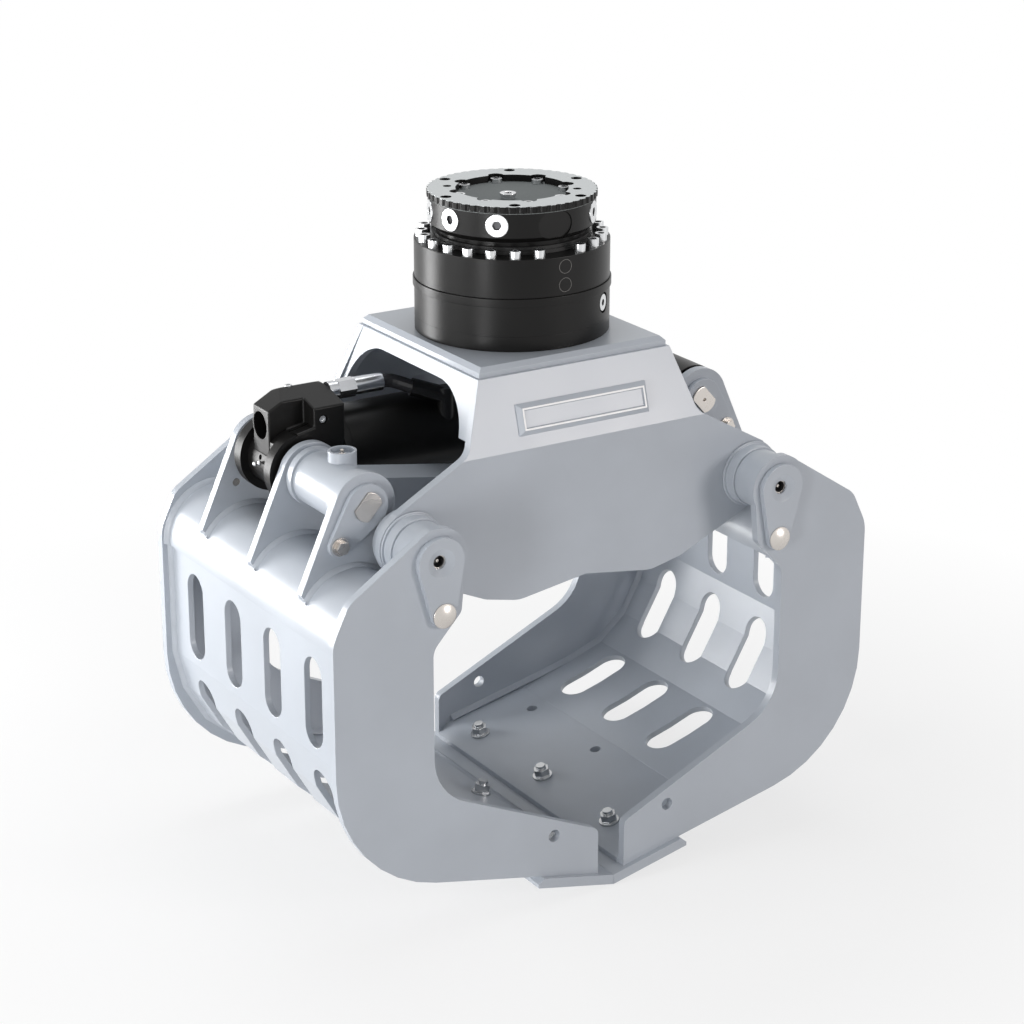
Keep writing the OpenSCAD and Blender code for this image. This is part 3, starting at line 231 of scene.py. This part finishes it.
def flange_finish():
    """Satin black all over, with the mounting face machined bare, and the recess floor a dull grey whose
    darker tone is painted shade of the recess.
    """
    material, tree, shader = new_material("flange_finish", black_color, 0.34)
    shader.inputs["Specular IOR Level"].default_value = 0.2
    top = between(tree, "Z", -0.3 * mm, 1 * mm)
    recess = between(tree, "Z", recess_floor_z - 0.5 * mm, recess_floor_z + 0.4 * mm)
    black_and_top = color_where(tree, top, black_color, (0.52, 0.545, 0.55))
    # the recess floor's darker grey is painted shade
    all_colors = color_where(tree, recess, black_and_top, (0.20, 0.215, 0.215))
    tree.links.new(all_colors, shader.inputs["Base Color"])
    tree.links.new(spread(tree, top, 0.0, 0.75, 0.0, 1.0), shader.inputs["Metallic"])
    tree.links.new(spread(tree, recess, 0.34, 0.75, 0.0, 1.0), shader.inputs["Roughness"])
    grain = noise_on_object(tree, 700.0, 2.0)
    relief(tree, shader, grain.outputs["Fac"], 0.08 * mm, 0.4)
    return material


def fitting_finish():
    """Zinc plate at the cylinder's head, black at the barrel."""
    material, tree, shader = new_material("fitting_finish", zinc_color, 0.24)
    black_end = between(tree, "X", hose_middle_x, 0.0)
    tree.links.new(color_where(tree, black_end, zinc_color, black_color), shader.inputs["Base Color"])
    tree.links.new(spread(tree, black_end, 1.0, 0.0, 0.0, 1.0), shader.inputs["Metallic"])
    grain = noise_on_object(tree, 500.0, 2.0)
    tree.links.new(spread(tree, grain.outputs["Fac"], 0.19, 0.26), shader.inputs["Roughness"])
    return material


def plated_steel(name, color, roughness):
    material, tree, shader = new_material(name, color, roughness, 1.0)
    clouds = noise_on_object(tree, 24.0, 2.0)
    vary_color(tree, shader, clouds, shaded(color, 0.98), color)
    polish = spread(tree, clouds.outputs["Fac"], roughness - 0.01, roughness + 0.015)
    tree.links.new(polish, shader.inputs["Roughness"])
    return material


def seal_rubber(name, color, roughness):
    material, tree, shader = new_material(name, color, roughness)
    grain = noise_on_object(tree, 500.0, 3.0)
    vary_color(tree, shader, grain, shaded(color, 0.8), shaded(color, 1.25))
    relief(tree, shader, grain.outputs["Fac"], 0.1 * mm, 0.4)
    return material


materials = {
    "paint": machine_paint(),
    "satin_black": satin_black_coat(),
    "bright_steel": plated_steel("zinc_plated_steel", (0.66, 0.67, 0.68), 0.26),
    "nickel": plated_steel("nickel_grey_steel", (0.60, 0.565, 0.53), 0.27),
    "bronze": plated_steel("bearing_bronze", (0.50, 0.34, 0.17), 0.34),
    "rubber": seal_rubber("wiper_rubber", (0.015, 0.015, 0.015), 0.6),
    "hose_rubber": seal_rubber("hose_cover", (0.018, 0.018, 0.020), 0.34),
}
weld = weld_paint()


# Shaping helpers

def deselect_all():
    bpy.ops.object.select_all(action="DESELECT")


def make_active(piece):
    deselect_all()
    piece.select_set(True)
    bpy.context.view_layer.objects.active = piece


def add_material(piece, material):
    piece.data.materials.clear()
    piece.data.materials.append(material)


def apply_modifier(piece, kind, **settings):
    make_active(piece)
    modifier = piece.modifiers.new(kind.lower(), kind)
    for name, value in settings.items():
        setattr(modifier, name, value)
    bpy.ops.object.modifier_apply(modifier=modifier.name)


def round_edges(piece, width, segments=2, angle=30.0, smooth_angle=32.0):
    """Breaks the edges that turn by more than the angle, and shades the rest smooth."""
    apply_modifier(
        piece, "BEVEL", width=width, segments=segments, limit_method="ANGLE",
        angle_limit=math.radians(angle), use_clamp_overlap=True, miter_outer="MITER_ARC")
    make_active(piece)
    bpy.ops.object.shade_smooth_by_angle(angle=math.radians(smooth_angle))
    apply_modifier(piece, "WEIGHTED_NORMAL", keep_sharp=True, weight=60)


def clean_copy(node):
    """A copy of a CAD node's mesh with its loose triangles merged and its flat faces whole."""
    piece = bpy.data.objects.new(node + "_finished", nodes[node].data.copy())
    bpy.context.scene.collection.objects.link(piece)
    piece.data.materials.clear()
    if piece.data.has_custom_normals:
        make_active(piece)
        bpy.ops.mesh.customdata_custom_splitnormals_clear()
    make_active(piece)
    bpy.ops.object.mode_set(mode="EDIT")
    bpy.ops.mesh.select_all(action="SELECT")
    bpy.ops.mesh.remove_doubles(threshold=0.004 * mm)
    bpy.ops.mesh.dissolve_limited(angle_limit=math.radians(0.4))
    bpy.ops.object.mode_set(mode="OBJECT")
    return piece


def ride_with(piece, body):
    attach(piece, body)
    return piece


edge_width = {
    "rotator_head": 0.8, "head_plugs": 1.0, "recess_screws": 0.6, "centre_plug": 0.8,
    "upper_housing": 1.6, "joint_band": 0.8, "lower_housing": 0.8, "base_ring": 1.2,
    "housing_screws": 0.8, "housing_plug": 0.5, "top_plate": 2.0, "front_plate": 2.0,
    "rear_plate": 2.0, "left_end_plate": 1.6, "right_end_plate": 1.6, "pivot_bosses": 1.6,
    "cylinder_head": 0.8, "cylinder_barrel": 1.6, "cylinder_gland": 1.4, "hose_fittings": 0.8,
    "piston_rod": 1.6, "sync_link": 2.2, "link_pin": 1.2, "right_link_lugs": 1.6,
    "side": 1.8, "shell": 1.2, "lip": 1.2, "blade": 1.2, "blade_bolts": 0.7, "beam": 1.2,
    "levers": 1.8, "lever_pin": 1.2, "keepers": 1.8, "keeper_bolts": 0.7,
}
left_as_built = ("swivel_core", "fixed_gear", "slew_balls", "drive_motor", "motor_pinion", "piston",
                 "pivot_bushes", "neck_seal", "cylinder_hose")


def width_of_edge(node):
    """Width of a piece's broken edges in mm, by its own name or by the ending that both jaws share."""
    if node in edge_width:
        return edge_width[node]
    for ending, width in edge_width.items():
        if node.endswith("_" + ending):
            return width
    return 1.0


def turns_of(node):
    """From which turn an edge is broken, and below which it is smooth, in degrees."""
    if node.endswith("_shell"):
        return 30.0, 8.0
    if node.endswith("_keepers"):
        return 22.0, 24.0
    return 30.0, 32.0


def bored(piece, position, towards, radius, depth):
    """Bores a blind hole into the copy of a piece, from a point on its skin."""
    inward = Vector(towards).normalized() * -1
    bpy.ops.mesh.primitive_cylinder_add(
        vertices=24, radius=radius, depth=2 * depth, location=(0, 0, 0))
    cutter = bpy.context.active_object
    turn = inward.to_track_quat("Z", "Y").to_matrix().to_4x4()
    cutter.data.transform(Matrix.Translation(Vector(position)) @ turn)
    apply_modifier(piece, "BOOLEAN", operation="DIFFERENCE", object=cutter, solver="EXACT")
    bpy.data.objects.remove(cutter)


def round_long_edges(piece, width, shortest):
    """Rounds only the long edges of a casting, so that its small holes don't hold the width down."""
    faces_at = {}
    for face in piece.data.polygons:
        for key in face.edge_keys:
            faces_at.setdefault(key, []).append(face)
    chosen = []
    for edge in piece.data.edges:
        faces = faces_at.get(edge.key, [])
        ends = [piece.data.vertices[i].co for i in edge.vertices]
        long_enough = (ends[0] - ends[1]).length > shortest
        chosen.append(len(faces) == 2 and long_enough and faces[0].normal.angle(faces[1].normal) > 0.4)
    make_active(piece)
    bpy.ops.object.mode_set(mode="EDIT")
    bpy.ops.mesh.select_mode(type="EDGE")
    bpy.ops.mesh.select_all(action="DESELECT")
    bpy.ops.object.mode_set(mode="OBJECT")
    for edge, wanted in zip(piece.data.edges, chosen):
        edge.select = wanted
    bpy.ops.object.mode_set(mode="EDIT")
    bpy.ops.mesh.bevel(offset=width, segments=3, profile=0.5, clamp_overlap=False)
    bpy.ops.object.mode_set(mode="OBJECT")


def bores_of(node):
    """Small blind holes of a piece: where, facing which way, radius and depth."""
    low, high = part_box(node)
    if node == "cylinder_head":
        hub_hole = (left_lever_pin.x - 46 * mm, 73 * mm, left_lever_pin.z + 12 * mm)
        return [((block_screw_x, 14.5 * mm, block_screw_z), (0, -1, 0), 6.8 * mm, 6 * mm),
                (hub_hole, (-1, 0, 0), 4.2 * mm, 9 * mm)]
    if node == "sync_link":
        return [((stub_x, stub_y, high.z), (0, 0, 1), 17.5 * mm, 8 * mm)]
    if node == "right_lever_pin":
        return [((right_lever_pin.x, low.y, right_lever_pin.z), (0, -1, 0), 2.6 * mm, 6 * mm)]
    if node.endswith("_pivot_pins"):
        pivot = left_pivot if node.startswith("left") else right_pivot
        return [((pivot.x, low.y, pivot.z), (0, -1, 0), 9 * mm, nipple_depth),
                ((pivot.x, high.y, pivot.z), (0, 1, 0), 9 * mm, nipple_depth)]
    return []


def finish_node(node):
    """The CAD piece with its edges broken, which then stands for it."""
    slot = slot_of_node[node]
    if node in left_as_built:
        add_material(nodes[node], materials[slot])
        return
    piece = clean_copy(node)
    if node == "cylinder_head":
        round_long_edges(piece, 3.2 * mm, 13 * mm)
    for position, towards, radius, depth in bores_of(node):
        bored(piece, position, towards, radius, depth)
    add_material(piece, materials[slot])
    bevel_from, smooth_under = turns_of(node)
    round_edges(piece, width_of_edge(node) * mm, angle=bevel_from, smooth_angle=smooth_under)
    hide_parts(node)
    ride_with(piece, body_of_node[node])


for node_name in sorted(nodes):
    finish_node(node_name)
add_material(bpy.data.objects["rotator_head_finished"], flange_finish())
add_material(bpy.data.objects["hose_fittings_finished"], fitting_finish())
bolt_steel = plated_steel("bolt_steel", (0.50, 0.51, 0.52), 0.22)
for jaw in ("left", "right"):
    add_material(bpy.data.objects[jaw + "_blade_bolts_finished"], bolt_steel)


# Sockets of the screws and plugs, and bores of the pivot pins, with painted shade

def islands(mesh):
    """The faces of each loose piece in a mesh."""
    parent = list(range(len(mesh.vertices)))

    def root(i):
        while parent[i] != i:
            parent[i] = parent[parent[i]]
            i = parent[i]
        return i

    for edge in mesh.edges:
        parent[root(edge.vertices[0])] = root(edge.vertices[1])
    groups = {}
    for face in mesh.polygons:
        groups.setdefault(root(face.vertices[0]), []).append(face)
    return list(groups.values())


def darken_sockets(node, radius, outward):
    """Paints the faces inside each screw's socket a dull dark grey, as painted shade of the recess."""
    rim = 0.9 * mm
    mesh = bpy.data.objects[node + "_finished"].data
    mesh.materials.append(painted_socket_shade)
    for faces in islands(mesh):
        points = [mesh.vertices[i].co for face in faces for i in face.vertices]
        low = Vector([min(point[k] for point in points) for k in range(3)])
        high = Vector([max(point[k] for point in points) for k in range(3)])
        middle = (low + high) / 2
        axis = outward(middle)
        top = max(point.dot(axis) for point in points)
        for face in faces:
            offset = face.center - middle
            beside = (offset - axis * offset.dot(axis)).length
            if beside < radius and face.center.dot(axis) < top - rim:
                face.material_index = 1


def away_from_axis(middle):
    return Vector((middle.x, middle.y, 0)).normalized()


def upward(middle):
    return Vector((0, 0, 1))


def along_pin(middle):
    return Vector((0, math.copysign(1, middle.y), 0))


# Dark grey steel painted inside the sockets and bores, standing in for the shade there
painted_socket_shade = plated_steel("painted_socket_shade", (0.10, 0.10, 0.105), 0.5)
darken_sockets("housing_screws", 6.2 * mm, upward)
darken_sockets("recess_screws", 6.2 * mm, upward)
darken_sockets("centre_plug", 7.5 * mm, upward)
darken_sockets("head_plugs", 9.0 * mm, away_from_axis)
darken_sockets("housing_plug", 6.0 * mm, away_from_axis)
darken_sockets("left_pivot_pins", 9.6 * mm, along_pin)
darken_sockets("right_pivot_pins", 9.6 * mm, along_pin)


# Welds, drawn as chamfered beads along the joints of the plates

def bead(name, points, size):
    """A four-sided bead with its corners on the two plates that meet along its line."""
    line = bpy.data.curves.new(name, "CURVE")
    line.dimensions = "3D"
    line.bevel_depth = size
    line.bevel_resolution = 0
    line.use_fill_caps = True
    path = line.splines.new("POLY")
    path.points.add(len(points) - 1)
    for place, point in zip(path.points, points):
        place.co = (*point, 1.0)
    piece = bpy.data.objects.new(name, line)
    bpy.context.scene.collection.objects.link(piece)
    make_active(piece)
    bpy.ops.object.convert(target="MESH")
    make_active(piece)
    bpy.ops.object.mode_set(mode="EDIT")
    bpy.ops.mesh.select_all(action="SELECT")
    bpy.ops.mesh.normals_make_consistent(inside=False)
    bpy.ops.object.mode_set(mode="OBJECT")
    apply_modifier(piece, "BEVEL", width=size * 0.22, segments=2, limit_method="ANGLE",
                   angle_limit=math.radians(40))
    make_active(piece)
    bpy.ops.object.shade_smooth_by_angle(angle=math.radians(40))
    return piece


def join(name, pieces):
    make_active(pieces[0])
    for piece in pieces:
        piece.select_set(True)
    if len(pieces) > 1:
        bpy.ops.object.join()
    joined = bpy.context.view_layer.objects.active
    joined.name = name
    return joined


def arc(centre_x, centre_z, radius, start, end, y, steps=24):
    """Points of an arc in a plane across Y, its angles in degrees from +X."""
    turns = [math.radians(start + (end - start) * i / steps) for i in range(steps + 1)]
    return [(centre_x + radius * math.cos(a), y, centre_z + radius * math.sin(a)) for a in turns]


def line_along_x(points, side, y):
    return [(side * x, y, z) for x, z in points]


beam_x = right_pivot.x + 80 * mm
beam_z = right_pivot.z - 115 * mm
side_inner_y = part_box("left_shell")[1].y
shell_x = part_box("right_shell")[1].x - 10 * mm
lever_t = 15 * mm
lever_y = 162.5 * mm
lever_rows = {-1: (-lever_y, 0.0, lever_y), 1: (0.0, lever_y)}
shell_line = [
    (shell_x, right_pivot.z - 121 * mm), (shell_x, plate_top_z - 537 * mm),
    (shell_x - 15 * mm, plate_top_z - 600 * mm), (shell_x - 49 * mm, plate_top_z - 659 * mm),
    (shell_x - 99 * mm, plate_top_z - 702 * mm), (shell_x - 166 * mm, plate_top_z - 726 * mm),
    (shell_x - 260 * mm, plate_top_z - 748 * mm),
]
lip_line_end = (shell_x - 405 * mm, plate_top_z - 780.5 * mm)


def outside_of(points, distance):
    """The same line moved out by a plate's thickness."""
    moved = []
    for i, (x, z) in enumerate(points):
        before = Vector(points[max(i - 1, 0)])
        after = Vector(points[min(i + 1, len(points) - 1)])
        run = (after - before).normalized()
        moved.append((x - run.y * distance, z + run.x * distance))
    return moved


def jaw_welds(side, body, name):
    centre_x = side * beam_x
    outward = (lambda angle: angle) if side > 0 else (lambda angle: 180 - angle)
    pieces = []
    for row in lever_rows[side]:
        for face in (-1, 1):
            y = row + face * lever_t / 2
            points = arc(centre_x, beam_z, beam_r, outward(31), outward(147), y)
            pieces.append(bead("bead", points, 7 * mm))
        foot = [(centre_x + side * beam_r * math.cos(math.radians(31)), row + face * lever_t * 0.8,
                 beam_z + beam_r * math.sin(math.radians(31))) for face in (-1, 1)]
        pieces.append(bead("bead", foot, 5 * mm))
    for end in (-1, 1):
        y = end * side_inner_y
        pieces.append(bead("bead", arc(centre_x, beam_z, beam_r, outward(-3), outward(183), y), 8 * mm))
        pieces.append(bead("bead", line_along_x(shell_line + [lip_line_end], side, y), 8 * mm))
        pieces.append(bead("bead", line_along_x(outside_of(shell_line, 10 * mm), side, y), 8 * mm))
    welds = join(name, pieces)
    add_material(welds, weld)
    ride_with(welds, body)


jaw_welds(-1, "left_jaw", "left_jaw_welds")
jaw_welds(1, "right_jaw", "right_jaw_welds")


# Turned pieces, drawn out ring by ring from a circle

def turned(name, profile, segments=32):
    """A turned piece about +Z from (radius, height) pairs, closed at both ends."""
    first_r, first_z = profile[0]
    bpy.ops.mesh.primitive_circle_add(
        vertices=segments, radius=first_r, fill_type="NGON", location=(0, 0, 0))
    piece = bpy.context.active_object
    piece.name = name
    make_active(piece)
    bpy.ops.object.mode_set(mode="EDIT")
    bpy.ops.mesh.select_all(action="SELECT")
    bpy.ops.transform.translate(value=(0, 0, first_z))
    radius, height = first_r, first_z
    for next_r, next_z in profile[1:]:
        bpy.ops.mesh.extrude_region_move(TRANSFORM_OT_translate={"value": (0, 0, next_z - height)})
        ratio = next_r / radius
        bpy.ops.transform.resize(value=(ratio, ratio, 1.0), center_override=(0, 0, next_z))
        radius, height = next_r, next_z
    bpy.ops.mesh.select_all(action="SELECT")
    bpy.ops.mesh.normals_make_consistent(inside=False)
    bpy.ops.object.mode_set(mode="OBJECT")
    make_active(piece)
    bpy.ops.object.shade_smooth_by_angle(angle=math.radians(35))
    return piece


def place(piece, position, towards):
    """Turns a piece's +Z to a direction and moves it, in its mesh."""
    turn = Vector(towards).to_track_quat("Z", "Y").to_matrix().to_4x4()
    piece.data.transform(Matrix.Translation(Vector(position)) @ turn)
    return piece


def grease_nipple(name):
    profile = [(5.2, 0), (5.2, 3.5), (3.2, 3.8), (2.4, 5.6), (2.4, 6.6), (3.3, 7.4), (3.3, 8.6),
               (2.2, 9.8), (0.9, 10.0), (0.8, 9.2)]
    return turned(name, [(r * mm, z * mm) for r, z in profile], 24)


def pivot_nipples(side, body, name):
    pin_end_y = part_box("right_pivot_pins")[1].y
    pieces = []
    for end in (-1, 1):
        seat = (side * right_pivot.x, end * (pin_end_y - nipple_depth - 0.5 * mm), right_pivot.z)
        pieces.append(place(grease_nipple("nipple"), seat, (0, end, 0)))
    nipples = join(name, pieces)
    add_material(nipples, materials["nickel"])
    ride_with(nipples, body)


pivot_nipples(-1, "left_jaw", "left_pivot_nipples")
pivot_nipples(1, "right_jaw", "right_pivot_nipples")


def link_nipple():
    seat = (stub_x, stub_y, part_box("sync_link")[1].z - 8.5 * mm)
    nipple = place(grease_nipple("link_nipple"), seat, (0, 0, 1))
    add_material(nipple, materials["nickel"])
    ride_with(nipple, "sync_link")


link_nipple()


def block_screws():
    """The two socket screws of the valve block, and two ball-ended ones in the hub."""
    pin_x, pin_z = left_lever_pin.x, left_lever_pin.z
    socket = [(6.0, 0), (6.0, 2.6), (5.4, 3.2), (3.0, 3.2), (2.8, 1.0)]
    ball = [(2.0, 0), (2.0, 3.5), (3.2, 4.6), (3.7, 6.4), (3.0, 8.2), (1.2, 9.2)]
    pieces = [
        place(turned("screw", [(r * mm, z * mm) for r, z in socket], 24),
              (block_screw_x, 20.5 * mm, block_screw_z), (0, -1, 0)),
        place(turned("screw", [(r * mm, z * mm) for r, z in socket], 24),
              (pin_x + 13 * mm, 88 * mm, pin_z + 110 * mm), (0, 0, 1)),
        place(turned("screw", [(r * mm, z * mm) for r, z in ball], 20),
              (pin_x - 45 * mm, 81 * mm, pin_z), (-1, 0, 0)),
        place(turned("screw", [(r * mm, z * mm) for r, z in ball], 20),
              (pin_x - 45 * mm, 66 * mm, pin_z + 6 * mm), (-1, 0, 0)),
    ]
    screws = join("block_screws", pieces)
    add_material(screws, materials["bright_steel"])
    ride_with(screws, "cylinder")


block_screws()


def port_sleeve():
    """The bored sleeve in the block's large port, with its blind end in the dark."""
    cup = [(23.9, -36), (23.9, 0), (21.8, 0), (21.2, -0.6), (21.2, -32)]
    sleeve = place(turned("port_sleeve", [(r * mm, z * mm) for r, z in cup], 48),
                   (block_end_x, 76.5 * mm, left_lever_pin.z + 61.5 * mm), (-1, 0, 0))
    add_material(sleeve, materials["satin_black"])
    ride_with(sleeve, "cylinder")


port_sleeve()


# Painted name plate on the front, with a white lacquer rim

def name_plate():
    slope = math.atan2(front_skin_y + top_half_y, bend_z - plate_top_z)
    width, height, rim = 232 * mm, 48 * mm, 7 * mm
    middle_z = plate_top_z - 81 * mm
    middle_y = front_skin_y + (middle_z - bend_z) * (-top_half_y - front_skin_y) / (plate_top_z - bend_z)
    bpy.ops.mesh.primitive_cube_add(size=1.0, location=(0, 0, 0))
    plate = bpy.context.active_object
    plate.name = "name_plate"
    make_active(plate)
    bpy.ops.object.mode_set(mode="EDIT")
    bpy.ops.mesh.select_all(action="SELECT")
    bpy.ops.transform.resize(value=(width, height, 3 * mm))
    bpy.ops.mesh.select_mode(type="FACE")
    bpy.ops.mesh.select_all(action="DESELECT")
    bpy.ops.object.mode_set(mode="OBJECT")
    for face in plate.data.polygons:
        face.select = face.normal.z > 0.9
    bpy.ops.object.mode_set(mode="EDIT")
    for inset, rise in ((rim, 7 * mm), (3.2 * mm, 0.0), (0.6 * mm, -3 * mm)):
        bpy.ops.mesh.inset(thickness=inset, depth=0.0)
        bpy.ops.transform.translate(value=(0, 0, rise))
    bpy.ops.mesh.select_all(action="DESELECT")
    bpy.ops.object.mode_set(mode="OBJECT")
    add_material(plate, materials["paint"])
    plate.data.materials.append(bright_rim())
    rim_z = max(vertex.co.z for vertex in plate.data.vertices)
    for face in plate.data.polygons:
        if face.normal.z > 0.9 and abs(face.center.z - rim_z) < 0.2 * mm:
            face.material_index = 1
    round_edges(plate, 0.8 * mm, 2)
    outward = Vector((0, -(plate_top_z - bend_z), -top_half_y - front_skin_y)).normalized()
    upward = Vector((0, -outward.z, outward.y)) * -1
    turn = Matrix((Vector((1, 0, 0)), upward, outward)).transposed().to_4x4()
    plate.data.transform(Matrix.Translation((0, middle_y, middle_z)) @ turn)
    ride_with(plate, "grapple_frame")


def bright_rim():
    color = (0.93, 0.93, 0.93)
    material, tree, shader = new_material("white_lacquer_rim", color, 0.3)
    clouds = noise_on_object(tree, 40.0, 3.0)
    vary_color(tree, shader, clouds, shaded(color, 0.96), color)
    return material


name_plate()


# Circles scribed on the housing, their lighter grey a painted highlight

def housing_circles():
    pieces = []
    for depth in (90 * mm, 118 * mm):
        bpy.ops.mesh.primitive_torus_add(
            major_radius=10.5 * mm, minor_radius=0.55 * mm, major_segments=48, minor_segments=8,
            location=(0, 0, 0))
        circle = bpy.context.active_object
        bpy.ops.object.shade_smooth()
        circle.data.transform(Matrix.Rotation(math.radians(90), 4, "X"))
        for vertex in circle.data.vertices:
            x, y, z = vertex.co
            vertex.co = (x, y - math.sqrt(housing_r ** 2 - x ** 2), z - depth)
        pieces.append(circle)
    circles = join("housing_circles", pieces)
    # a grey lighter than the black coat, as painted highlight on the rings
    ring_painted_highlight = new_material("ring_painted_highlight", (0.11, 0.105, 0.10), 0.4)[0]
    add_material(circles, ring_painted_highlight)
    ride_with(circles, "grapple_frame")


housing_circles()


# Floor, light and background

def seen_directly(tree):
    """1 for rays that show the background: from the camera, and in metal and glass."""
    rays = tree.nodes.new("ShaderNodeLightPath")
    seen = rays.outputs["Is Camera Ray"]
    for kind in ("Is Glossy Ray", "Is Transmission Ray"):
        either = tree.nodes.new("ShaderNodeMath")
        either.operation = "MAXIMUM"
        tree.links.new(seen, either.inputs[0])
        tree.links.new(rays.outputs[kind], either.inputs[1])
        seen = either.outputs["Value"]
    return seen


def add_floor():
    bpy.ops.mesh.primitive_circle_add(vertices=96, radius=6.0, fill_type="NGON",
                                      location=(0, 0, cad_box[0][2] - 2 * mm))
    floor = bpy.context.active_object
    floor.name = "floor"
    material, tree, shader = new_material("pale_floor", (0.85, 0.85, 0.85), 0.9)
    shader.inputs["Specular IOR Level"].default_value = 0.0
    output = tree.nodes["Material Output"]
    white = tree.nodes.new("ShaderNodeEmission")
    mix = tree.nodes.new("ShaderNodeMixShader")
    tree.links.new(shader.outputs["BSDF"], mix.inputs[1])
    tree.links.new(white.outputs["Emission"], mix.inputs[2])
    place = tree.nodes.new("ShaderNodeTexCoord")
    far = tree.nodes.new("ShaderNodeVectorMath")
    far.operation = "LENGTH"
    tree.links.new(place.outputs["Object"], far.inputs[0])
    share = tree.nodes.new("ShaderNodeMath")
    share.operation = "MULTIPLY"
    tree.links.new(seen_directly(tree), share.inputs[0])
    tree.links.new(spread(tree, far.outputs["Value"], 0.72, 1.0, 0.7, 1.6), share.inputs[1])
    tree.links.new(share.outputs["Value"], mix.inputs["Fac"])
    tree.links.new(mix.outputs["Shader"], output.inputs["Surface"])
    add_material(floor, material)


def add_world():
    world = bpy.data.worlds.new("studio")
    bpy.context.scene.world = world
    world.use_nodes = True
    tree = world.node_tree
    background = tree.nodes["Background"]
    background.inputs["Color"].default_value = (1.0, 1.0, 1.0, 1.0)
    strength = spread(tree, seen_directly(tree), 0.27, 1.0, 0.0, 1.0)
    tree.links.new(strength, background.inputs["Strength"])


def add_softbox(name, location, aim, size, power, color):
    data = bpy.data.lights.new(name, "AREA")
    data.shape = "RECTANGLE"
    data.size, data.size_y = size
    data.energy = power
    data.color = color
    lamp = bpy.data.objects.new(name, data)
    bpy.context.scene.collection.objects.link(lamp)
    lamp.location = location
    lamp.rotation_euler = (Vector(aim) - Vector(location)).to_track_quat("-Z", "Y").to_euler()


add_floor()
add_world()
middle = (0.0, 0.0, -0.5)
mechanism = (0.0, 0.0, -0.3)
white_light = (1.0, 1.0, 1.0)
add_softbox("left_softbox", (-4.4, 0.5, 0.0), middle, (2.0, 2.0), 67.0, white_light)
add_softbox("strip_softbox", (-2.6, -1.3, -0.45), mechanism, (0.4, 1.0), 22.0, white_light)
add_softbox("rim_softbox", (-1.5, 1.7, -0.5), mechanism, (0.8, 0.9), 34.0, white_light)
add_softbox("front_softbox", (2.3, -4.1, 0.4), middle, (1.3, 0.8), 60.0, (1.0, 0.95, 0.93))
add_softbox("top_softbox", (0.4, 0.6, 3.6), middle, (2.4, 2.4), 54.0, (0.97, 0.985, 1.0))

bpy.context.scene.view_settings.view_transform = "Standard"

deselect_all()
